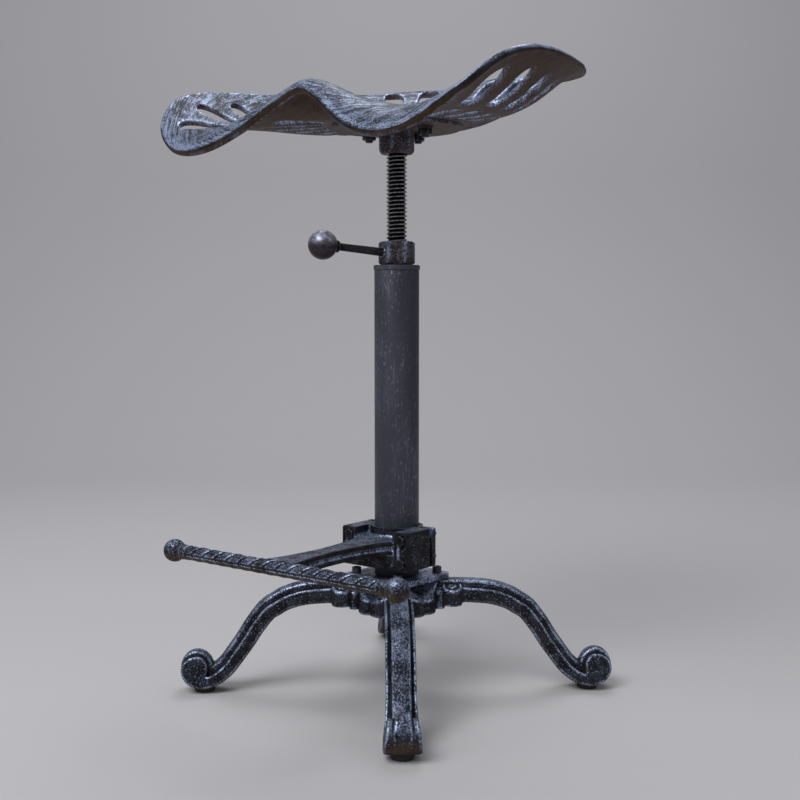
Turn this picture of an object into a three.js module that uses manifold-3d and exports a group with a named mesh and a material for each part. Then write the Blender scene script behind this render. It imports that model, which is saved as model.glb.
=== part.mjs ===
// Tractor seat stool: cast seat pan on a screw, tube column, clamped footrest, four scroll legs.
// Millimetres, +Z up, origin on the column axis at floor level, seat front and footrest facing -Y.
import * as THREE from 'three';
import { mergeVertices } from 'three/addons/utils/BufferGeometryUtils.js';
import Module from 'manifold-3d';

const wasm = await Module();
wasm.setup();

// Fits
const SEAT_GAP = 0.3; // between pieces that touch in the real stool
const RUNNING_GAP = 0.35; // per side, between pieces that turn or slide on each other
const CHAMFER_RUN = 2; // a hexagon's end chamfer runs in twice as far as it drops
const BOLT_CLEARANCE = 0.35; // per side, around every bolt shank
const OVERRUN = 5; // how far a cutting body reaches past the face it cuts

// Segment counts
const ROUND_SEGMENTS = 24;
const TUBE_SEGMENTS = 32;
const SMALL_SEGMENTS = 12;
const BALL_RINGS = 9;
const LEG_STATIONS = 15;
const SCROLL_SEGMENTS = 24;
const TWIST_STATIONS = 54;
const THREAD_SEGMENTS = 12;
const PAN_SECTORS = 60;
const PAN_ROWS = 5;
const SLOT_END_SEGMENTS = 3;
const RIM_EDGE_SEGMENTS = 3;
const THREAD_ROWS = 2; // root and crest
const HEX_SIDES = 6;
const HALF_TURN = 180;
const WELD = 1e-4;
const PROBE = 0.5; // step for reading the slope of the pan

// Legs
const LEG_COUNT = 4;
const LEG_TURN = THREE.MathUtils.degToRad(-50.4); // direction of the first leg
const LEG_REACH = 236;
const LEG_HEIGHT = 120;
const LEG_ROOT_THICKNESS = 24;
const LEG_FOOT_THICKNESS = 19.5;
const LEG_WIDTH = 30;
const FOOT_WIDTH = 38;
const BAND_WIDTH = 19;
const BAND_RAISE = 6.8;
const BAND_SLOPE = 1.6; // run of the band's sloping sides
const BAND_CROWN = 1.4;
const SCROLL_RADIUS = 20;
const SCROLL_DRAW_SHARE = 0.3; // how far the scroll is drawn in on the side of the shank
const LEG_EDGE = 1.5;
const FLARE_START_SHARE = 0.6; // of the leg's length, where it starts to widen to the foot
const FOOT_LIFT = 6.5; // scroll above the floor
const PAD_DIAMETER = 23;
const PAD_HEIGHT = 9;
const PAD_INSET = 5; // pads stand this far inside the middle of the scroll
// Centre line of a leg: distance out as a share of the reach, height as a share of the leg height
const LEG_LINE_SHARES = [
  [0.06, 0.9225], [0.254, 0.9225], [0.339, 0.919], [0.435, 0.901], [0.513, 0.855],
  [0.559, 0.803], [0.603, 0.744], [0.659, 0.601], [0.694, 0.492], [0.731, 0.388],
  [0.78, 0.258], [0.809, 0.203], [0.842, 0.158], [0.886, 0.129],
];

// Root lobes of a leg: place out and aside, radius, drop below the root's top face, and height
const ROOT_BIG = { out: 29, aside: 17, radius: 12.5, drop: 18.2, height: 15.5 };
const ROOT_SMALL = { out: 46.5, aside: 15.5, radius: 5.5, drop: 11.2, height: 18 };
const ROOT_OUTER = { out: 60, aside: 13.5, radius: 11, drop: 7.9, height: 18 };
const ROOT_SPINE_WIDTH = 16;
const ROOT_SPINE_START = 8;
const ROOT_SPINE_END = 44;
const RELIEF_RADIUS = 6.5;
const RELIEF_HEIGHT = 1.3;

// Base plate and its screws
const PLATE_SIDE = 84;
const PLATE_THICKNESS = 6.7;
const PLATE_SPIGOT_HEIGHT = 10;
const PLATE_CORNER_SHARE = 0.07; // of the half diagonal, cut off every corner
const SCREW_INSET = 15.4; // plate corner to the middle of its screw
const SCREW_DIAMETER = 6;
const SCREW_HEAD_DIAMETER = 10;
const SCREW_HEAD_HEIGHT = 6.5;
const SCREW_SOCKET = 5;
const SCREW_SOCKET_DEPTH = 3;
const SCREW_GRIP = 22;

// Column
const TUBE_DIAMETER = 48.3;
const TUBE_WALL = 3.2;
const TUBE_LENGTH = 329;
const CAP_LIP = 0.85; // how far the cap stands out past the tube
const CAP_THICKNESS = 5.4;
const CAP_SLEEVE = 24;
const CAP_EDGE = 1;

// Seat screw
const THREAD_MAJOR = 22.2;
const THREAD_MINOR = 17.6;
const THREAD_PITCH = 4.233;
const THREAD_RUNOUT = 5; // plain length between the bush and the thread
const ROD_EXPOSED = 92.5; // between the lock nut and the seat boss in the photographed position
const ROD_LENGTH = 251;
const BUSH_LENGTH = 12;
const BUSH_WALL_GAP = 0.5;
const BUSH_END = 4; // rod left below the bush to hold it

// Lock nut and its lever
const NUT_ACROSS_FLATS = 34;
const LOCK_NUT_HEIGHT = 25;
const LOCK_NUT_CHAMFER = 1.6;
const LEVER_TURN = THREE.MathUtils.degToRad(-112);
const LEVER_RISE = THREE.MathUtils.degToRad(5);
const LEVER_LENGTH = 88.5; // column axis to the middle of the knob
const LEVER_ROOT_DIAMETER = 9.3;
const LEVER_TIP_DIAMETER = 7.6;
const LEVER_ROOT_HEIGHT_SHARE = 0.47; // of the lock nut height
const LEVER_WALL = 3.2; // of the nut, between its bore and the lever
const LEVER_COLLAR_DIAMETER = 13;
const LEVER_COLLAR_LENGTH = 3;
const KNOB_DIAMETER = 31;
const KNOB_SOCKET_DEPTH = 6;

// Footrest clamp
const CLAMP_LIFT = 11.3; // above the base plate
const CLAMP_HEIGHT = 42;
const CLAMP_WALL = 4.5; // shell round the tube
const CLAMP_NOSE = 15.5; // from the bore to the front face
const CLAMP_EDGE = 10; // from a bolt's axis to the side of the ear
const CLAMP_SPLIT = 4.5; // open gap behind the front half, which ends at the column's axis
const CLAMP_CORNER = 3;
const CLAMP_EAR_THICKNESS = 7.5;
const CLAMP_LEDGE_SHARE = 0.766; // height of the ledge between the ears, as a share of the clamp height
const POCKET_DEPTH = 3.8;
const POCKET_RIM = 3;
const POCKET_RIB = 4; // between a pocket and the dip in the middle of the clamp
const CLAMP_BOLT_SPREAD = 25;
const CLAMP_BOLT_DIAMETER = 6;
const CLAMP_BOLT_HEAD = 10;
const CLAMP_BOLT_HEAD_HEIGHT = 4.2;
const CLAMP_BOLT_TAIL = 4;
const CLAMP_BOLT_EDGE = 0.6;
const CLAMP_NUT_HEIGHT = 5;

// Footrest
const ARM_HEIGHT = 14;
const ARM_ROOT_WIDTH = 53;
const ARM_WAIST_WIDTH = 25;
const ARM_END_WIDTH = 46;
const ARM_FLANGE = 4.4;
const ARM_WEB_INSET = 3;
const ARM_NEAR_SHARE = 0.18; // of the arm's length, where the flares at both ends have mostly gone
const ARM_FLARE_SHARE = 0.35; // of a flare's extra width, left at that place
const ARM_SEGMENTS = 12;
const FOOTREST_OUT = 188; // column axis to the middle of the bar
const FOOTREST_LENGTH = 296; // between ball centres
const FOOTREST_LEVEL_SHARE = 0.59; // of the clamp height
const BAR_CORNER_DIAMETER = 16.2;
const BAR_FLAT_DIAMETER = 13.8;
const BAR_MARKS = 17.5; // twist ridges between the balls
const BAR_SIDES = 4;
const BALL_DIAMETER = 24;
const BALL_SOCKET_DEPTH = 5.5;

// Seat boss, plate and bolts
const BOSS_HEIGHT = 26;
const BOSS_CHAMFER = 3;
const BOSS_TURN = THREE.MathUtils.degToRad(-37);
const BOSS_PLATE_DIAMETER = 138;
const BOSS_PLATE_THICKNESS = 3;
const BOSS_BLIND = 2.5;
const SEAT_BOLT_RADIUS_OUT = 38;
const SEAT_BOLT_COUNT = 4;
const SEAT_BOLT_DIAMETER = 8;
const SEAT_BOLT_HEAD = 17;
const SEAT_BOLT_HEAD_HEIGHT = 3.6;
const SEAT_BOLT_TAIL = 2.5;
const DOME_SHARE = 0.7; // where a bolt head's dome bends, of its radius and of its height
const SEAT_NUT_ACROSS_FLATS = 13;
const SEAT_NUT_HEIGHT = 6.4;
const WASHER_DIAMETER = 17;
const WASHER_THICKNESS = 1.6;

// Seat pan
const PAN_HALF_WIDTH = 242; // from the screw axis to the rim where its share is 1
const PAN_RISE = 78; // middle of the pan to the back of the rim
const PAN_FLAT_MARGIN = 1; // flat of the pan past the plate under it
const PAN_THICKNESS = 6;
const RIM_THICKNESS = 8;
const RIM_ROLL = 6; // how far the rim turns over
const ROLL_START_SHARE = 0.82;
const RIM_STEP_DEG = 10;
// From the front round to the back, every 10 degrees
const RIM_REACH_SHARES = [
  0.641, 0.675, 0.76, 0.873, 0.975, 1.035, 1.019, 0.96, 0.904,
  0.856, 0.823, 0.812, 0.817, 0.833, 0.877, 0.921, 0.918, 0.891, 0.871,
];
const RIM_RISE_SHARES = [
  0.218, 0.049, -0.245, -0.467, -0.43, -0.073, 0.331, 0.51, 0.57,
  0.6, 0.631, 0.652, 0.688, 0.741, 0.794, 0.841, 0.852, 0.911, 0.943,
];
const BOWL_RISE_SHARES = [ // half way out
  0.216, 0.183, 0.097, -0.004, -0.08, -0.06, -0.02, 0.012, 0.028,
  0.042, 0.068, 0.116, 0.205, 0.285, 0.345, 0.37, 0.37, 0.37, 0.375,
];

// Slots of the pan, counted from the back towards the front on both sides
const SLOT_PITCH_DEG = 13.04;
const OUTER_SLOT_LAST = 10;
const INNER_SLOT_LAST = 11;
const SLOT_WIDTH_SHARE = 0.56; // of the pitch
const SLOT_FROM_FLAT = 7;
// Edges of the solid ring between the two rings of slots, as shares of the way from flat to rim
const INNER_SLOT_END_SHARE = 0.41;
const OUTER_SLOT_START_SHARE = 0.5;
const OUTER_SLOT_MARGIN = 16;

// Sizes and heights that follow from the ones above
const ROOT_TOP = LEG_HEIGHT * LEG_LINE_SHARES[0][1] + LEG_ROOT_THICKNESS / 2;
const PLATE_BOTTOM = ROOT_TOP + SEAT_GAP;
const PLATE_TOP = PLATE_BOTTOM + PLATE_THICKNESS;
const TUBE_BOTTOM = PLATE_TOP + SEAT_GAP;
const TUBE_TOP = TUBE_BOTTOM + TUBE_LENGTH;
const CAP_BOTTOM = TUBE_TOP + SEAT_GAP;
const CAP_TOP = CAP_BOTTOM + CAP_THICKNESS;
const LOCK_NUT_BOTTOM = CAP_TOP + SEAT_GAP;
const LOCK_NUT_TOP = LOCK_NUT_BOTTOM + LOCK_NUT_HEIGHT;
const BOSS_BOTTOM = LOCK_NUT_TOP + ROD_EXPOSED;
const BOSS_PLATE_BOTTOM = BOSS_BOTTOM + BOSS_HEIGHT;
const BOSS_PLATE_TOP = BOSS_PLATE_BOTTOM + BOSS_PLATE_THICKNESS;
const PAN_MIDDLE = BOSS_PLATE_TOP + SEAT_GAP + PAN_THICKNESS / 2;
const ROD_TOP = BOSS_PLATE_TOP - BOSS_BLIND - SEAT_GAP;
const ROD_BOTTOM = ROD_TOP - ROD_LENGTH;
const TUBE_BORE = TUBE_DIAMETER - 2 * TUBE_WALL;
const RUNNING_BORE = THREAD_MAJOR / 2 + RUNNING_GAP;
const PAD_RADIUS_OUT = LEG_REACH - SCROLL_RADIUS - PAD_INSET;
const PLATE_CORNER = PLATE_SIDE / (2 * Math.sin(Math.PI / LEG_COUNT));
const SCREW_RADIUS_OUT = PLATE_CORNER - SCREW_INSET;
const CLAMP_BORE = TUBE_DIAMETER / 2 + SEAT_GAP;
const CLAMP_SHELL_RADIUS = CLAMP_BORE + CLAMP_WALL;
const CLAMP_BOLT_ASIDE = CLAMP_SHELL_RADIUS + CLAMP_BOLT_HEAD / Math.sqrt(3) + SEAT_GAP;
const CLAMP_WIDTH = 2 * (CLAMP_BOLT_ASIDE + CLAMP_EDGE);
const CLAMP_DEPTH = CLAMP_BORE + CLAMP_NOSE;
const CLAMP_EAR_INSIDE = CLAMP_SHELL_RADIUS - POCKET_RIB;
const CLAMP_BOTTOM = PLATE_TOP + CLAMP_LIFT;
const CLAMP_TOP = CLAMP_BOTTOM + CLAMP_HEIGHT;
const CLAMP_MIDDLE = CLAMP_BOTTOM + CLAMP_HEIGHT / 2;
const FOOTREST_LEVEL = CLAMP_BOTTOM + CLAMP_HEIGHT * FOOTREST_LEVEL_SHARE;
const POCKET_FLOOR = -CLAMP_DEPTH + POCKET_DEPTH;
const EAR_BACK = CLAMP_SPLIT + CLAMP_EAR_THICKNESS;
const PAN_FLAT_RADIUS = BOSS_PLATE_DIAMETER / 2 + PAN_FLAT_MARGIN;
const INNER_SLOT_START = PAN_FLAT_RADIUS + SLOT_FROM_FLAT;

// Finishes
const CAST_IRON = { color: 0x3a3d44, roughness: 0.5, metalness: 0.85 };
const COLUMN_STEEL = { color: 0x33363c, roughness: 0.42, metalness: 0.9 };
const OILED_STEEL = { color: 0x1d1e21, roughness: 0.35, metalness: 0.9 };
const KNOB_STEEL = { color: 0x41444b, roughness: 0.38, metalness: 0.9 };
const BOLT_STEEL = { color: 0x1a1b1d, roughness: 0.5, metalness: 0.8 };
const RUBBER = { color: 0x111112, roughness: 0.85, metalness: 0 };

const UP = new THREE.Vector3(0, 0, 1);

// A closed manifold body of a geometry, whichever way its faces were wound
function solid(geometry) {
  let bare = geometry.index ? geometry.toNonIndexed() : geometry.clone();
  for (const name of Object.keys(bare.attributes).filter((key) => key !== 'position')) {
    bare.deleteAttribute(name);
  }
  bare = mergeVertices(bare, WELD);
  const positions = bare.attributes.position.array;
  const corners = Uint32Array.from(bare.index.array);
  const a = new THREE.Vector3();
  const b = new THREE.Vector3();
  const c = new THREE.Vector3();
  let volume = 0;
  for (let i = 0; i < corners.length; i += 3) {
    a.fromArray(positions, corners[i] * 3);
    b.fromArray(positions, corners[i + 1] * 3);
    c.fromArray(positions, corners[i + 2] * 3);
    volume += a.dot(b.cross(c));
  }
  if (volume < 0) {
    for (let i = 0; i < corners.length; i += 3) {
      [corners[i], corners[i + 1]] = [corners[i + 1], corners[i]];
    }
  }
  return new wasm.Manifold(new wasm.Mesh({
    numProp: 3,
    vertProperties: Float32Array.from(positions),
    triVerts: corners,
  }));
}

function union(bodies) {
  return bodies.reduce((whole, body) => whole.add(body));
}

// A body turned about Z from a half profile of [radius, height] pairs that closes on itself
function turned(profile, segments = ROUND_SEGMENTS) {
  const points = [...profile, profile[0]].map(([r, z]) => new THREE.Vector2(r, z));
  return solid(new THREE.LatheGeometry(points, segments).rotateX(Math.PI / 2));
}

function post(radius, bottom, top, segments = ROUND_SEGMENTS) {
  return turned([[0, bottom], [radius, bottom], [radius, top], [0, top]], segments);
}

function ring(inner, outer, bottom, top, segments = ROUND_SEGMENTS) {
  return turned([[inner, bottom], [outer, bottom], [outer, top], [inner, top]], segments);
}

function block(x0, x1, y0, y1, z0, z1) {
  const box = new THREE.BoxGeometry(x1 - x0, y1 - y0, z1 - z0);
  return solid(box.translate((x0 + x1) / 2, (y0 + y1) / 2, (z0 + z1) / 2));
}

function prism(shape, bottom, top) {
  const geometry = new THREE.ExtrudeGeometry(shape, { depth: top - bottom, bevelEnabled: false });
  return solid(geometry.translate(0, 0, bottom));
}

function polygon(pairs) {
  return new THREE.Shape(pairs.map(([x, y]) => new THREE.Vector2(x, y)));
}

// Six-sided bar with chamfered ends
function hexagon(acrossFlats, bottom, top, lowChamfer, highChamfer) {
  const corner = acrossFlats / Math.sqrt(3);
  const sides = [];
  for (let k = 0; k < HEX_SIDES; k += 1) {
    const angle = k * 2 * Math.PI / HEX_SIDES;
    sides.push([corner * Math.cos(angle), corner * Math.sin(angle)]);
  }
  const turnedEnds = turned([
    [0, bottom], [corner - lowChamfer * CHAMFER_RUN, bottom], [corner, bottom + lowChamfer],
    [corner, top - highChamfer], [corner - highChamfer * CHAMFER_RUN, top], [0, top],
  ], 2 * HEX_SIDES);
  const bar = prism(polygon(sides), bottom, top);
  return lowChamfer + highChamfer > 0 ? bar.intersect(turnedEnds) : bar;
}

// A body through rings of equal point count, closed at both ends
function loft(rings) {
  const count = rings[0].length;
  const positions = [];
  const faces = [];
  rings.forEach((points) => points.forEach((p) => positions.push(p.x, p.y, p.z)));
  for (let i = 0; i < rings.length - 1; i += 1) {
    for (let k = 0; k < count; k += 1) {
      const a = i * count + k;
      const b = i * count + (k + 1) % count;
      faces.push(a, b, a + count, b, b + count, a + count);
    }
  }
  for (const [row, flip] of [[0, true], [rings.length - 1, false]]) {
    const middle = rings[row].reduce((sum, p) => sum.add(p), new THREE.Vector3()).divideScalar(count);
    const hub = positions.length / 3;
    positions.push(middle.x, middle.y, middle.z);
    for (let k = 0; k < count; k += 1) {
      const a = row * count + k;
      const b = row * count + (k + 1) % count;
      faces.push(hub, flip ? b : a, flip ? a : b);
    }
  }
  const geometry = new THREE.BufferGeometry();
  geometry.setAttribute('position', new THREE.Float32BufferAttribute(positions, 3));
  geometry.setIndex(faces);
  return solid(geometry);
}

// Moves a body built about Z so that its Z runs along a direction from a start point
function aimed(body, start, direction) {
  const turn = new THREE.Quaternion().setFromUnitVectors(UP, direction.clone().normalize());
  const matrix = new THREE.Matrix4().compose(start, turn, new THREE.Vector3(1, 1, 1));
  return body.transform(matrix.elements);
}

function turnedBy(body, angle) {
  return body.rotate([0, 0, THREE.MathUtils.radToDeg(angle)]);
}

function ball(radius, centre, axis) {
  const profile = [];
  for (let k = 0; k <= BALL_RINGS; k += 1) {
    const angle = -Math.PI / 2 + k * Math.PI / BALL_RINGS;
    profile.push([k % BALL_RINGS === 0 ? 0 : radius * Math.cos(angle), radius * Math.sin(angle)]);
  }
  return aimed(turned(profile, SMALL_SEGMENTS + SMALL_SEGMENTS / 2), centre, axis);
}

// Angle from the front, the same to the left and to the right
function fromFront(degrees) {
  return Math.abs(THREE.MathUtils.euclideanModulo(degrees + HALF_TURN, 2 * HALF_TURN) - HALF_TURN);
}

// Table of shares read at any angle, mirrored at the front and at the back
function around(shares, degrees) {
  const last = shares.length - 1;
  const place = fromFront(degrees) / RIM_STEP_DEG;
  const i = Math.min(Math.floor(place), last - 1);
  const t = place - i;
  const at = (k) => shares[last - Math.abs(last - Math.abs(k))];
  const [p, q, r, s] = [at(i - 1), at(i), at(i + 1), at(i + 2)];
  return q + t * (r - p + t * (2 * p - 5 * q + 4 * r - s + t * (3 * (q - r) + s - p))) / 2;
}

const group = new THREE.Group();
group.name = 'tractor_seat_stool';

function add(name, body, finish) {
  const mesh = body.getMesh();
  const geometry = new THREE.BufferGeometry();
  const positions = new Float32Array(mesh.vertProperties.length / mesh.numProp * 3);
  for (let i = 0; i < positions.length / 3; i += 1) {
    for (let k = 0; k < 3; k += 1) {
      positions[i * 3 + k] = mesh.vertProperties[i * mesh.numProp + k];
    }
  }
  geometry.setAttribute('position', new THREE.BufferAttribute(positions, 3));
  geometry.setIndex(Array.from(mesh.triVerts));
  geometry.computeVertexNormals();
  const piece = new THREE.Mesh(geometry, new THREE.MeshStandardMaterial(finish));
  piece.name = name;
  group.add(piece);
}

// Legs: a swept shank with a raised band, a scroll foot and a scalloped root mitred to its neighbours
function legLine() {
  const points = LEG_LINE_SHARES.map(([out, up]) => new THREE.Vector3(out * LEG_REACH, 0, up * LEG_HEIGHT));
  return new THREE.CatmullRomCurve3(points, false, 'centripetal');
}

function legShank() {
  const line = legLine();
  const band = BAND_WIDTH / 2;
  const rings = [];
  for (let i = 0; i < LEG_STATIONS; i += 1) {
    const t = i / (LEG_STATIONS - 1);
    const at = line.getPoint(t);
    const along = line.getTangent(t);
    const normal = new THREE.Vector3(-along.z, 0, along.x);
    const flare = THREE.MathUtils.smoothstep(t, FLARE_START_SHARE, 1);
    const side = THREE.MathUtils.lerp(LEG_WIDTH, FOOT_WIDTH, flare) / 2;
    const half = THREE.MathUtils.lerp(LEG_ROOT_THICKNESS, LEG_FOOT_THICKNESS, t) / 2;
    const shoulder = half - BAND_RAISE;
    const outline = [
      [-side + LEG_EDGE, -half], [side - LEG_EDGE, -half], [side, -half + LEG_EDGE],
      [side, shoulder], [band + BAND_SLOPE, shoulder], [band, half], [0, half + BAND_CROWN],
      [-band, half], [-band - BAND_SLOPE, shoulder], [-side, shoulder], [-side, -half + LEG_EDGE],
    ];
    rings.push(outline.map(([aside, up]) => new THREE.Vector3(
      at.x + normal.x * up,
      aside,
      at.z + normal.z * up,
    )));
  }
  return loft(rings);
}

// Outline of the scroll: round outwards, drawn in towards the shank
function scrollOutline(radius) {
  const outline = [];
  for (let k = 0; k < SCROLL_SEGMENTS; k += 1) {
    const angle = k * 2 * Math.PI / SCROLL_SEGMENTS;
    const reach = radius * (1 - SCROLL_DRAW_SHARE * ((1 - Math.cos(angle)) / 2) ** 3);
    outline.push([reach * Math.cos(angle), reach * Math.sin(angle)]);
  }
  return polygon(outline);
}

function scrollFoot() {
  const side = FOOT_WIDTH / 2;
  const band = BAND_WIDTH / 2 - LEG_EDGE;
  const roll = prism(scrollOutline(SCROLL_RADIUS - LEG_EDGE), -side, side)
    .add(prism(scrollOutline(SCROLL_RADIUS), -band, band));
  const middle = new THREE.Vector3(LEG_REACH - SCROLL_RADIUS, 0, SCROLL_RADIUS + FOOT_LIFT);
  return aimed(roll, middle, new THREE.Vector3(0, 1, 0));
}

function rootLobe({ out, aside, radius, drop, height }, side) {
  const top = ROOT_TOP - drop;
  return post(radius, top - height, top, SMALL_SEGMENTS).translate([out, side * aside, 0]);
}

function legRoot() {
  const half = ROOT_SPINE_WIDTH / 2;
  const bottom = ROOT_TOP - ROOT_OUTER.drop - ROOT_OUTER.height;
  const spine = block(ROOT_SPINE_START, ROOT_SPINE_END, -half, half, bottom, ROOT_TOP);
  const relief = { ...ROOT_OUTER, radius: RELIEF_RADIUS, drop: ROOT_OUTER.drop - RELIEF_HEIGHT };
  const bodies = [spine];
  for (const side of [-1, 1]) {
    bodies.push(wasm.Manifold.hull([rootLobe(ROOT_BIG, side), spine]));
    bodies.push(rootLobe(ROOT_SMALL, side));
    bodies.push(rootLobe(ROOT_OUTER, side));
    bodies.push(rootLobe(relief, side));
  }
  return union(bodies);
}

// The sector that one leg fills, with half a gap to the mitre plane on both sides
function legWedge() {
  const half = Math.PI / LEG_COUNT;
  const far = LEG_REACH + OVERRUN;
  const aside = far * Math.tan(half) - SEAT_GAP / (2 * Math.cos(half));
  const outline = polygon([[SEAT_GAP / (2 * Math.sin(half)), 0], [far, aside], [far, -aside]]);
  return prism(outline, -OVERRUN, ROOT_TOP);
}

function buildLeg() {
  const padHole = post(PAD_DIAMETER / 2 + SEAT_GAP, -OVERRUN, PAD_HEIGHT + SEAT_GAP);
  const screwHole = post(
    SCREW_DIAMETER / 2 + BOLT_CLEARANCE, PLATE_TOP - SCREW_GRIP - SEAT_GAP, PLATE_TOP, SMALL_SEGMENTS,
  );
  return union([legShank(), scrollFoot(), legRoot()])
    .intersect(legWedge())
    .subtract(padHole.translate([PAD_RADIUS_OUT, 0, 0]))
    .subtract(screwHole.translate([SCREW_RADIUS_OUT, 0, 0]));
}

const leg = buildLeg();
const pad = post(PAD_DIAMETER / 2, 0, PAD_HEIGHT).translate([PAD_RADIUS_OUT, 0, 0]);
const headBottom = PLATE_TOP + SEAT_GAP;
const headTop = headBottom + SCREW_HEAD_HEIGHT;
const plateScrew = post(SCREW_DIAMETER / 2, PLATE_TOP - SCREW_GRIP, headBottom, SMALL_SEGMENTS)
  .add(post(SCREW_HEAD_DIAMETER / 2, headBottom, headTop, SMALL_SEGMENTS))
  .subtract(hexagon(SCREW_SOCKET, headTop - SCREW_SOCKET_DEPTH, headTop + OVERRUN, 0, 0))
  .translate([SCREW_RADIUS_OUT, 0, 0]);
for (let k = 0; k < LEG_COUNT; k += 1) {
  const angle = LEG_TURN + k * 2 * Math.PI / LEG_COUNT;
  add(`leg_${k + 1}`, turnedBy(leg, angle), CAST_IRON);
  add(`foot_pad_${k + 1}`, turnedBy(pad, angle), RUBBER);
  add(`plate_screw_${k + 1}`, turnedBy(plateScrew, angle), BOLT_STEEL);
}

// Base plate with the spigot that centres the tube
function buildPlate() {
  const edge = PLATE_CORNER_SHARE * PLATE_CORNER;
  const outline = [];
  for (let k = 0; k < LEG_COUNT; k += 1) {
    const angle = k * 2 * Math.PI / LEG_COUNT;
    for (const side of [-1, 1]) {
      const out = PLATE_CORNER - edge;
      outline.push([
        out * Math.cos(angle) - side * edge * Math.sin(angle),
        out * Math.sin(angle) + side * edge * Math.cos(angle),
      ]);
    }
  }
  let plate = prism(polygon(outline), PLATE_BOTTOM, PLATE_TOP)
    .add(post(TUBE_BORE / 2 - SEAT_GAP, PLATE_BOTTOM, PLATE_TOP + PLATE_SPIGOT_HEIGHT));
  const hole = post(
    SCREW_DIAMETER / 2 + BOLT_CLEARANCE, PLATE_BOTTOM - OVERRUN, PLATE_TOP + OVERRUN, SMALL_SEGMENTS,
  ).translate([SCREW_RADIUS_OUT, 0, 0]);
  for (let k = 0; k < LEG_COUNT; k += 1) {
    plate = plate.subtract(turnedBy(hole, k * 2 * Math.PI / LEG_COUNT));
  }
  return turnedBy(plate, LEG_TURN);
}
add('base_plate', buildPlate(), CAST_IRON);

// Column tube and the threaded cap in its top
const tube = ring(TUBE_BORE / 2, TUBE_DIAMETER / 2, TUBE_BOTTOM, TUBE_TOP, TUBE_SEGMENTS);
add('column_tube', tube, COLUMN_STEEL);

const sleeveRadius = TUBE_BORE / 2 - SEAT_GAP;
const capRadius = TUBE_DIAMETER / 2 + CAP_LIP;
add('tube_cap', turned([
  [RUNNING_BORE, CAP_TOP], [RUNNING_BORE, CAP_BOTTOM - CAP_SLEEVE],
  [sleeveRadius, CAP_BOTTOM - CAP_SLEEVE], [sleeveRadius, CAP_BOTTOM],
  [capRadius, CAP_BOTTOM], [capRadius, CAP_TOP - CAP_EDGE], [capRadius - CAP_EDGE, CAP_TOP],
], TUBE_SEGMENTS), CAST_IRON);

// Lock nut with its lever and knob
const leverAim = new THREE.Vector3(
  Math.cos(LEVER_TURN) * Math.cos(LEVER_RISE),
  Math.sin(LEVER_TURN) * Math.cos(LEVER_RISE),
  Math.sin(LEVER_RISE),
);
const leverStart = new THREE.Vector3(0, 0, LOCK_NUT_BOTTOM + LOCK_NUT_HEIGHT * LEVER_ROOT_HEIGHT_SHARE);
const knobAt = LEVER_LENGTH / Math.cos(LEVER_RISE);
const leverEnd = knobAt - KNOB_DIAMETER / 2 + KNOB_SOCKET_DEPTH - SEAT_GAP;
const collarEnd = knobAt - KNOB_DIAMETER / 2 - SEAT_GAP;
const leverInner = RUNNING_BORE + LEVER_WALL + SEAT_GAP;
const leverSocket = aimed(
  post(LEVER_ROOT_DIAMETER / 2 + SEAT_GAP, leverInner - SEAT_GAP, NUT_ACROSS_FLATS, SMALL_SEGMENTS),
  leverStart,
  leverAim,
);
const lockNut = hexagon(NUT_ACROSS_FLATS, LOCK_NUT_BOTTOM, LOCK_NUT_TOP, LOCK_NUT_CHAMFER, LOCK_NUT_CHAMFER)
  .subtract(post(RUNNING_BORE, LOCK_NUT_BOTTOM - OVERRUN, LOCK_NUT_TOP + OVERRUN));
add('lock_nut', turnedBy(lockNut, LEVER_TURN).subtract(leverSocket), CAST_IRON);
add('lever_rod', aimed(turned([
  [0, leverInner], [LEVER_ROOT_DIAMETER / 2, leverInner],
  [LEVER_TIP_DIAMETER / 2, collarEnd - LEVER_COLLAR_LENGTH],
  [LEVER_COLLAR_DIAMETER / 2, collarEnd - LEVER_COLLAR_LENGTH], [LEVER_COLLAR_DIAMETER / 2, collarEnd],
  [LEVER_TIP_DIAMETER / 2, collarEnd], [LEVER_TIP_DIAMETER / 2, leverEnd], [0, leverEnd],
], SMALL_SEGMENTS), leverStart, leverAim), KNOB_STEEL);
const knobCentre = leverStart.clone().addScaledVector(leverAim, knobAt);
const knobSocket = aimed(
  post(LEVER_TIP_DIAMETER / 2 + SEAT_GAP, 0, leverEnd + SEAT_GAP, SMALL_SEGMENTS),
  leverStart,
  leverAim,
);
add('lever_knob', ball(KNOB_DIAMETER / 2, knobCentre, leverAim).subtract(knobSocket), KNOB_STEEL);

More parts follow.
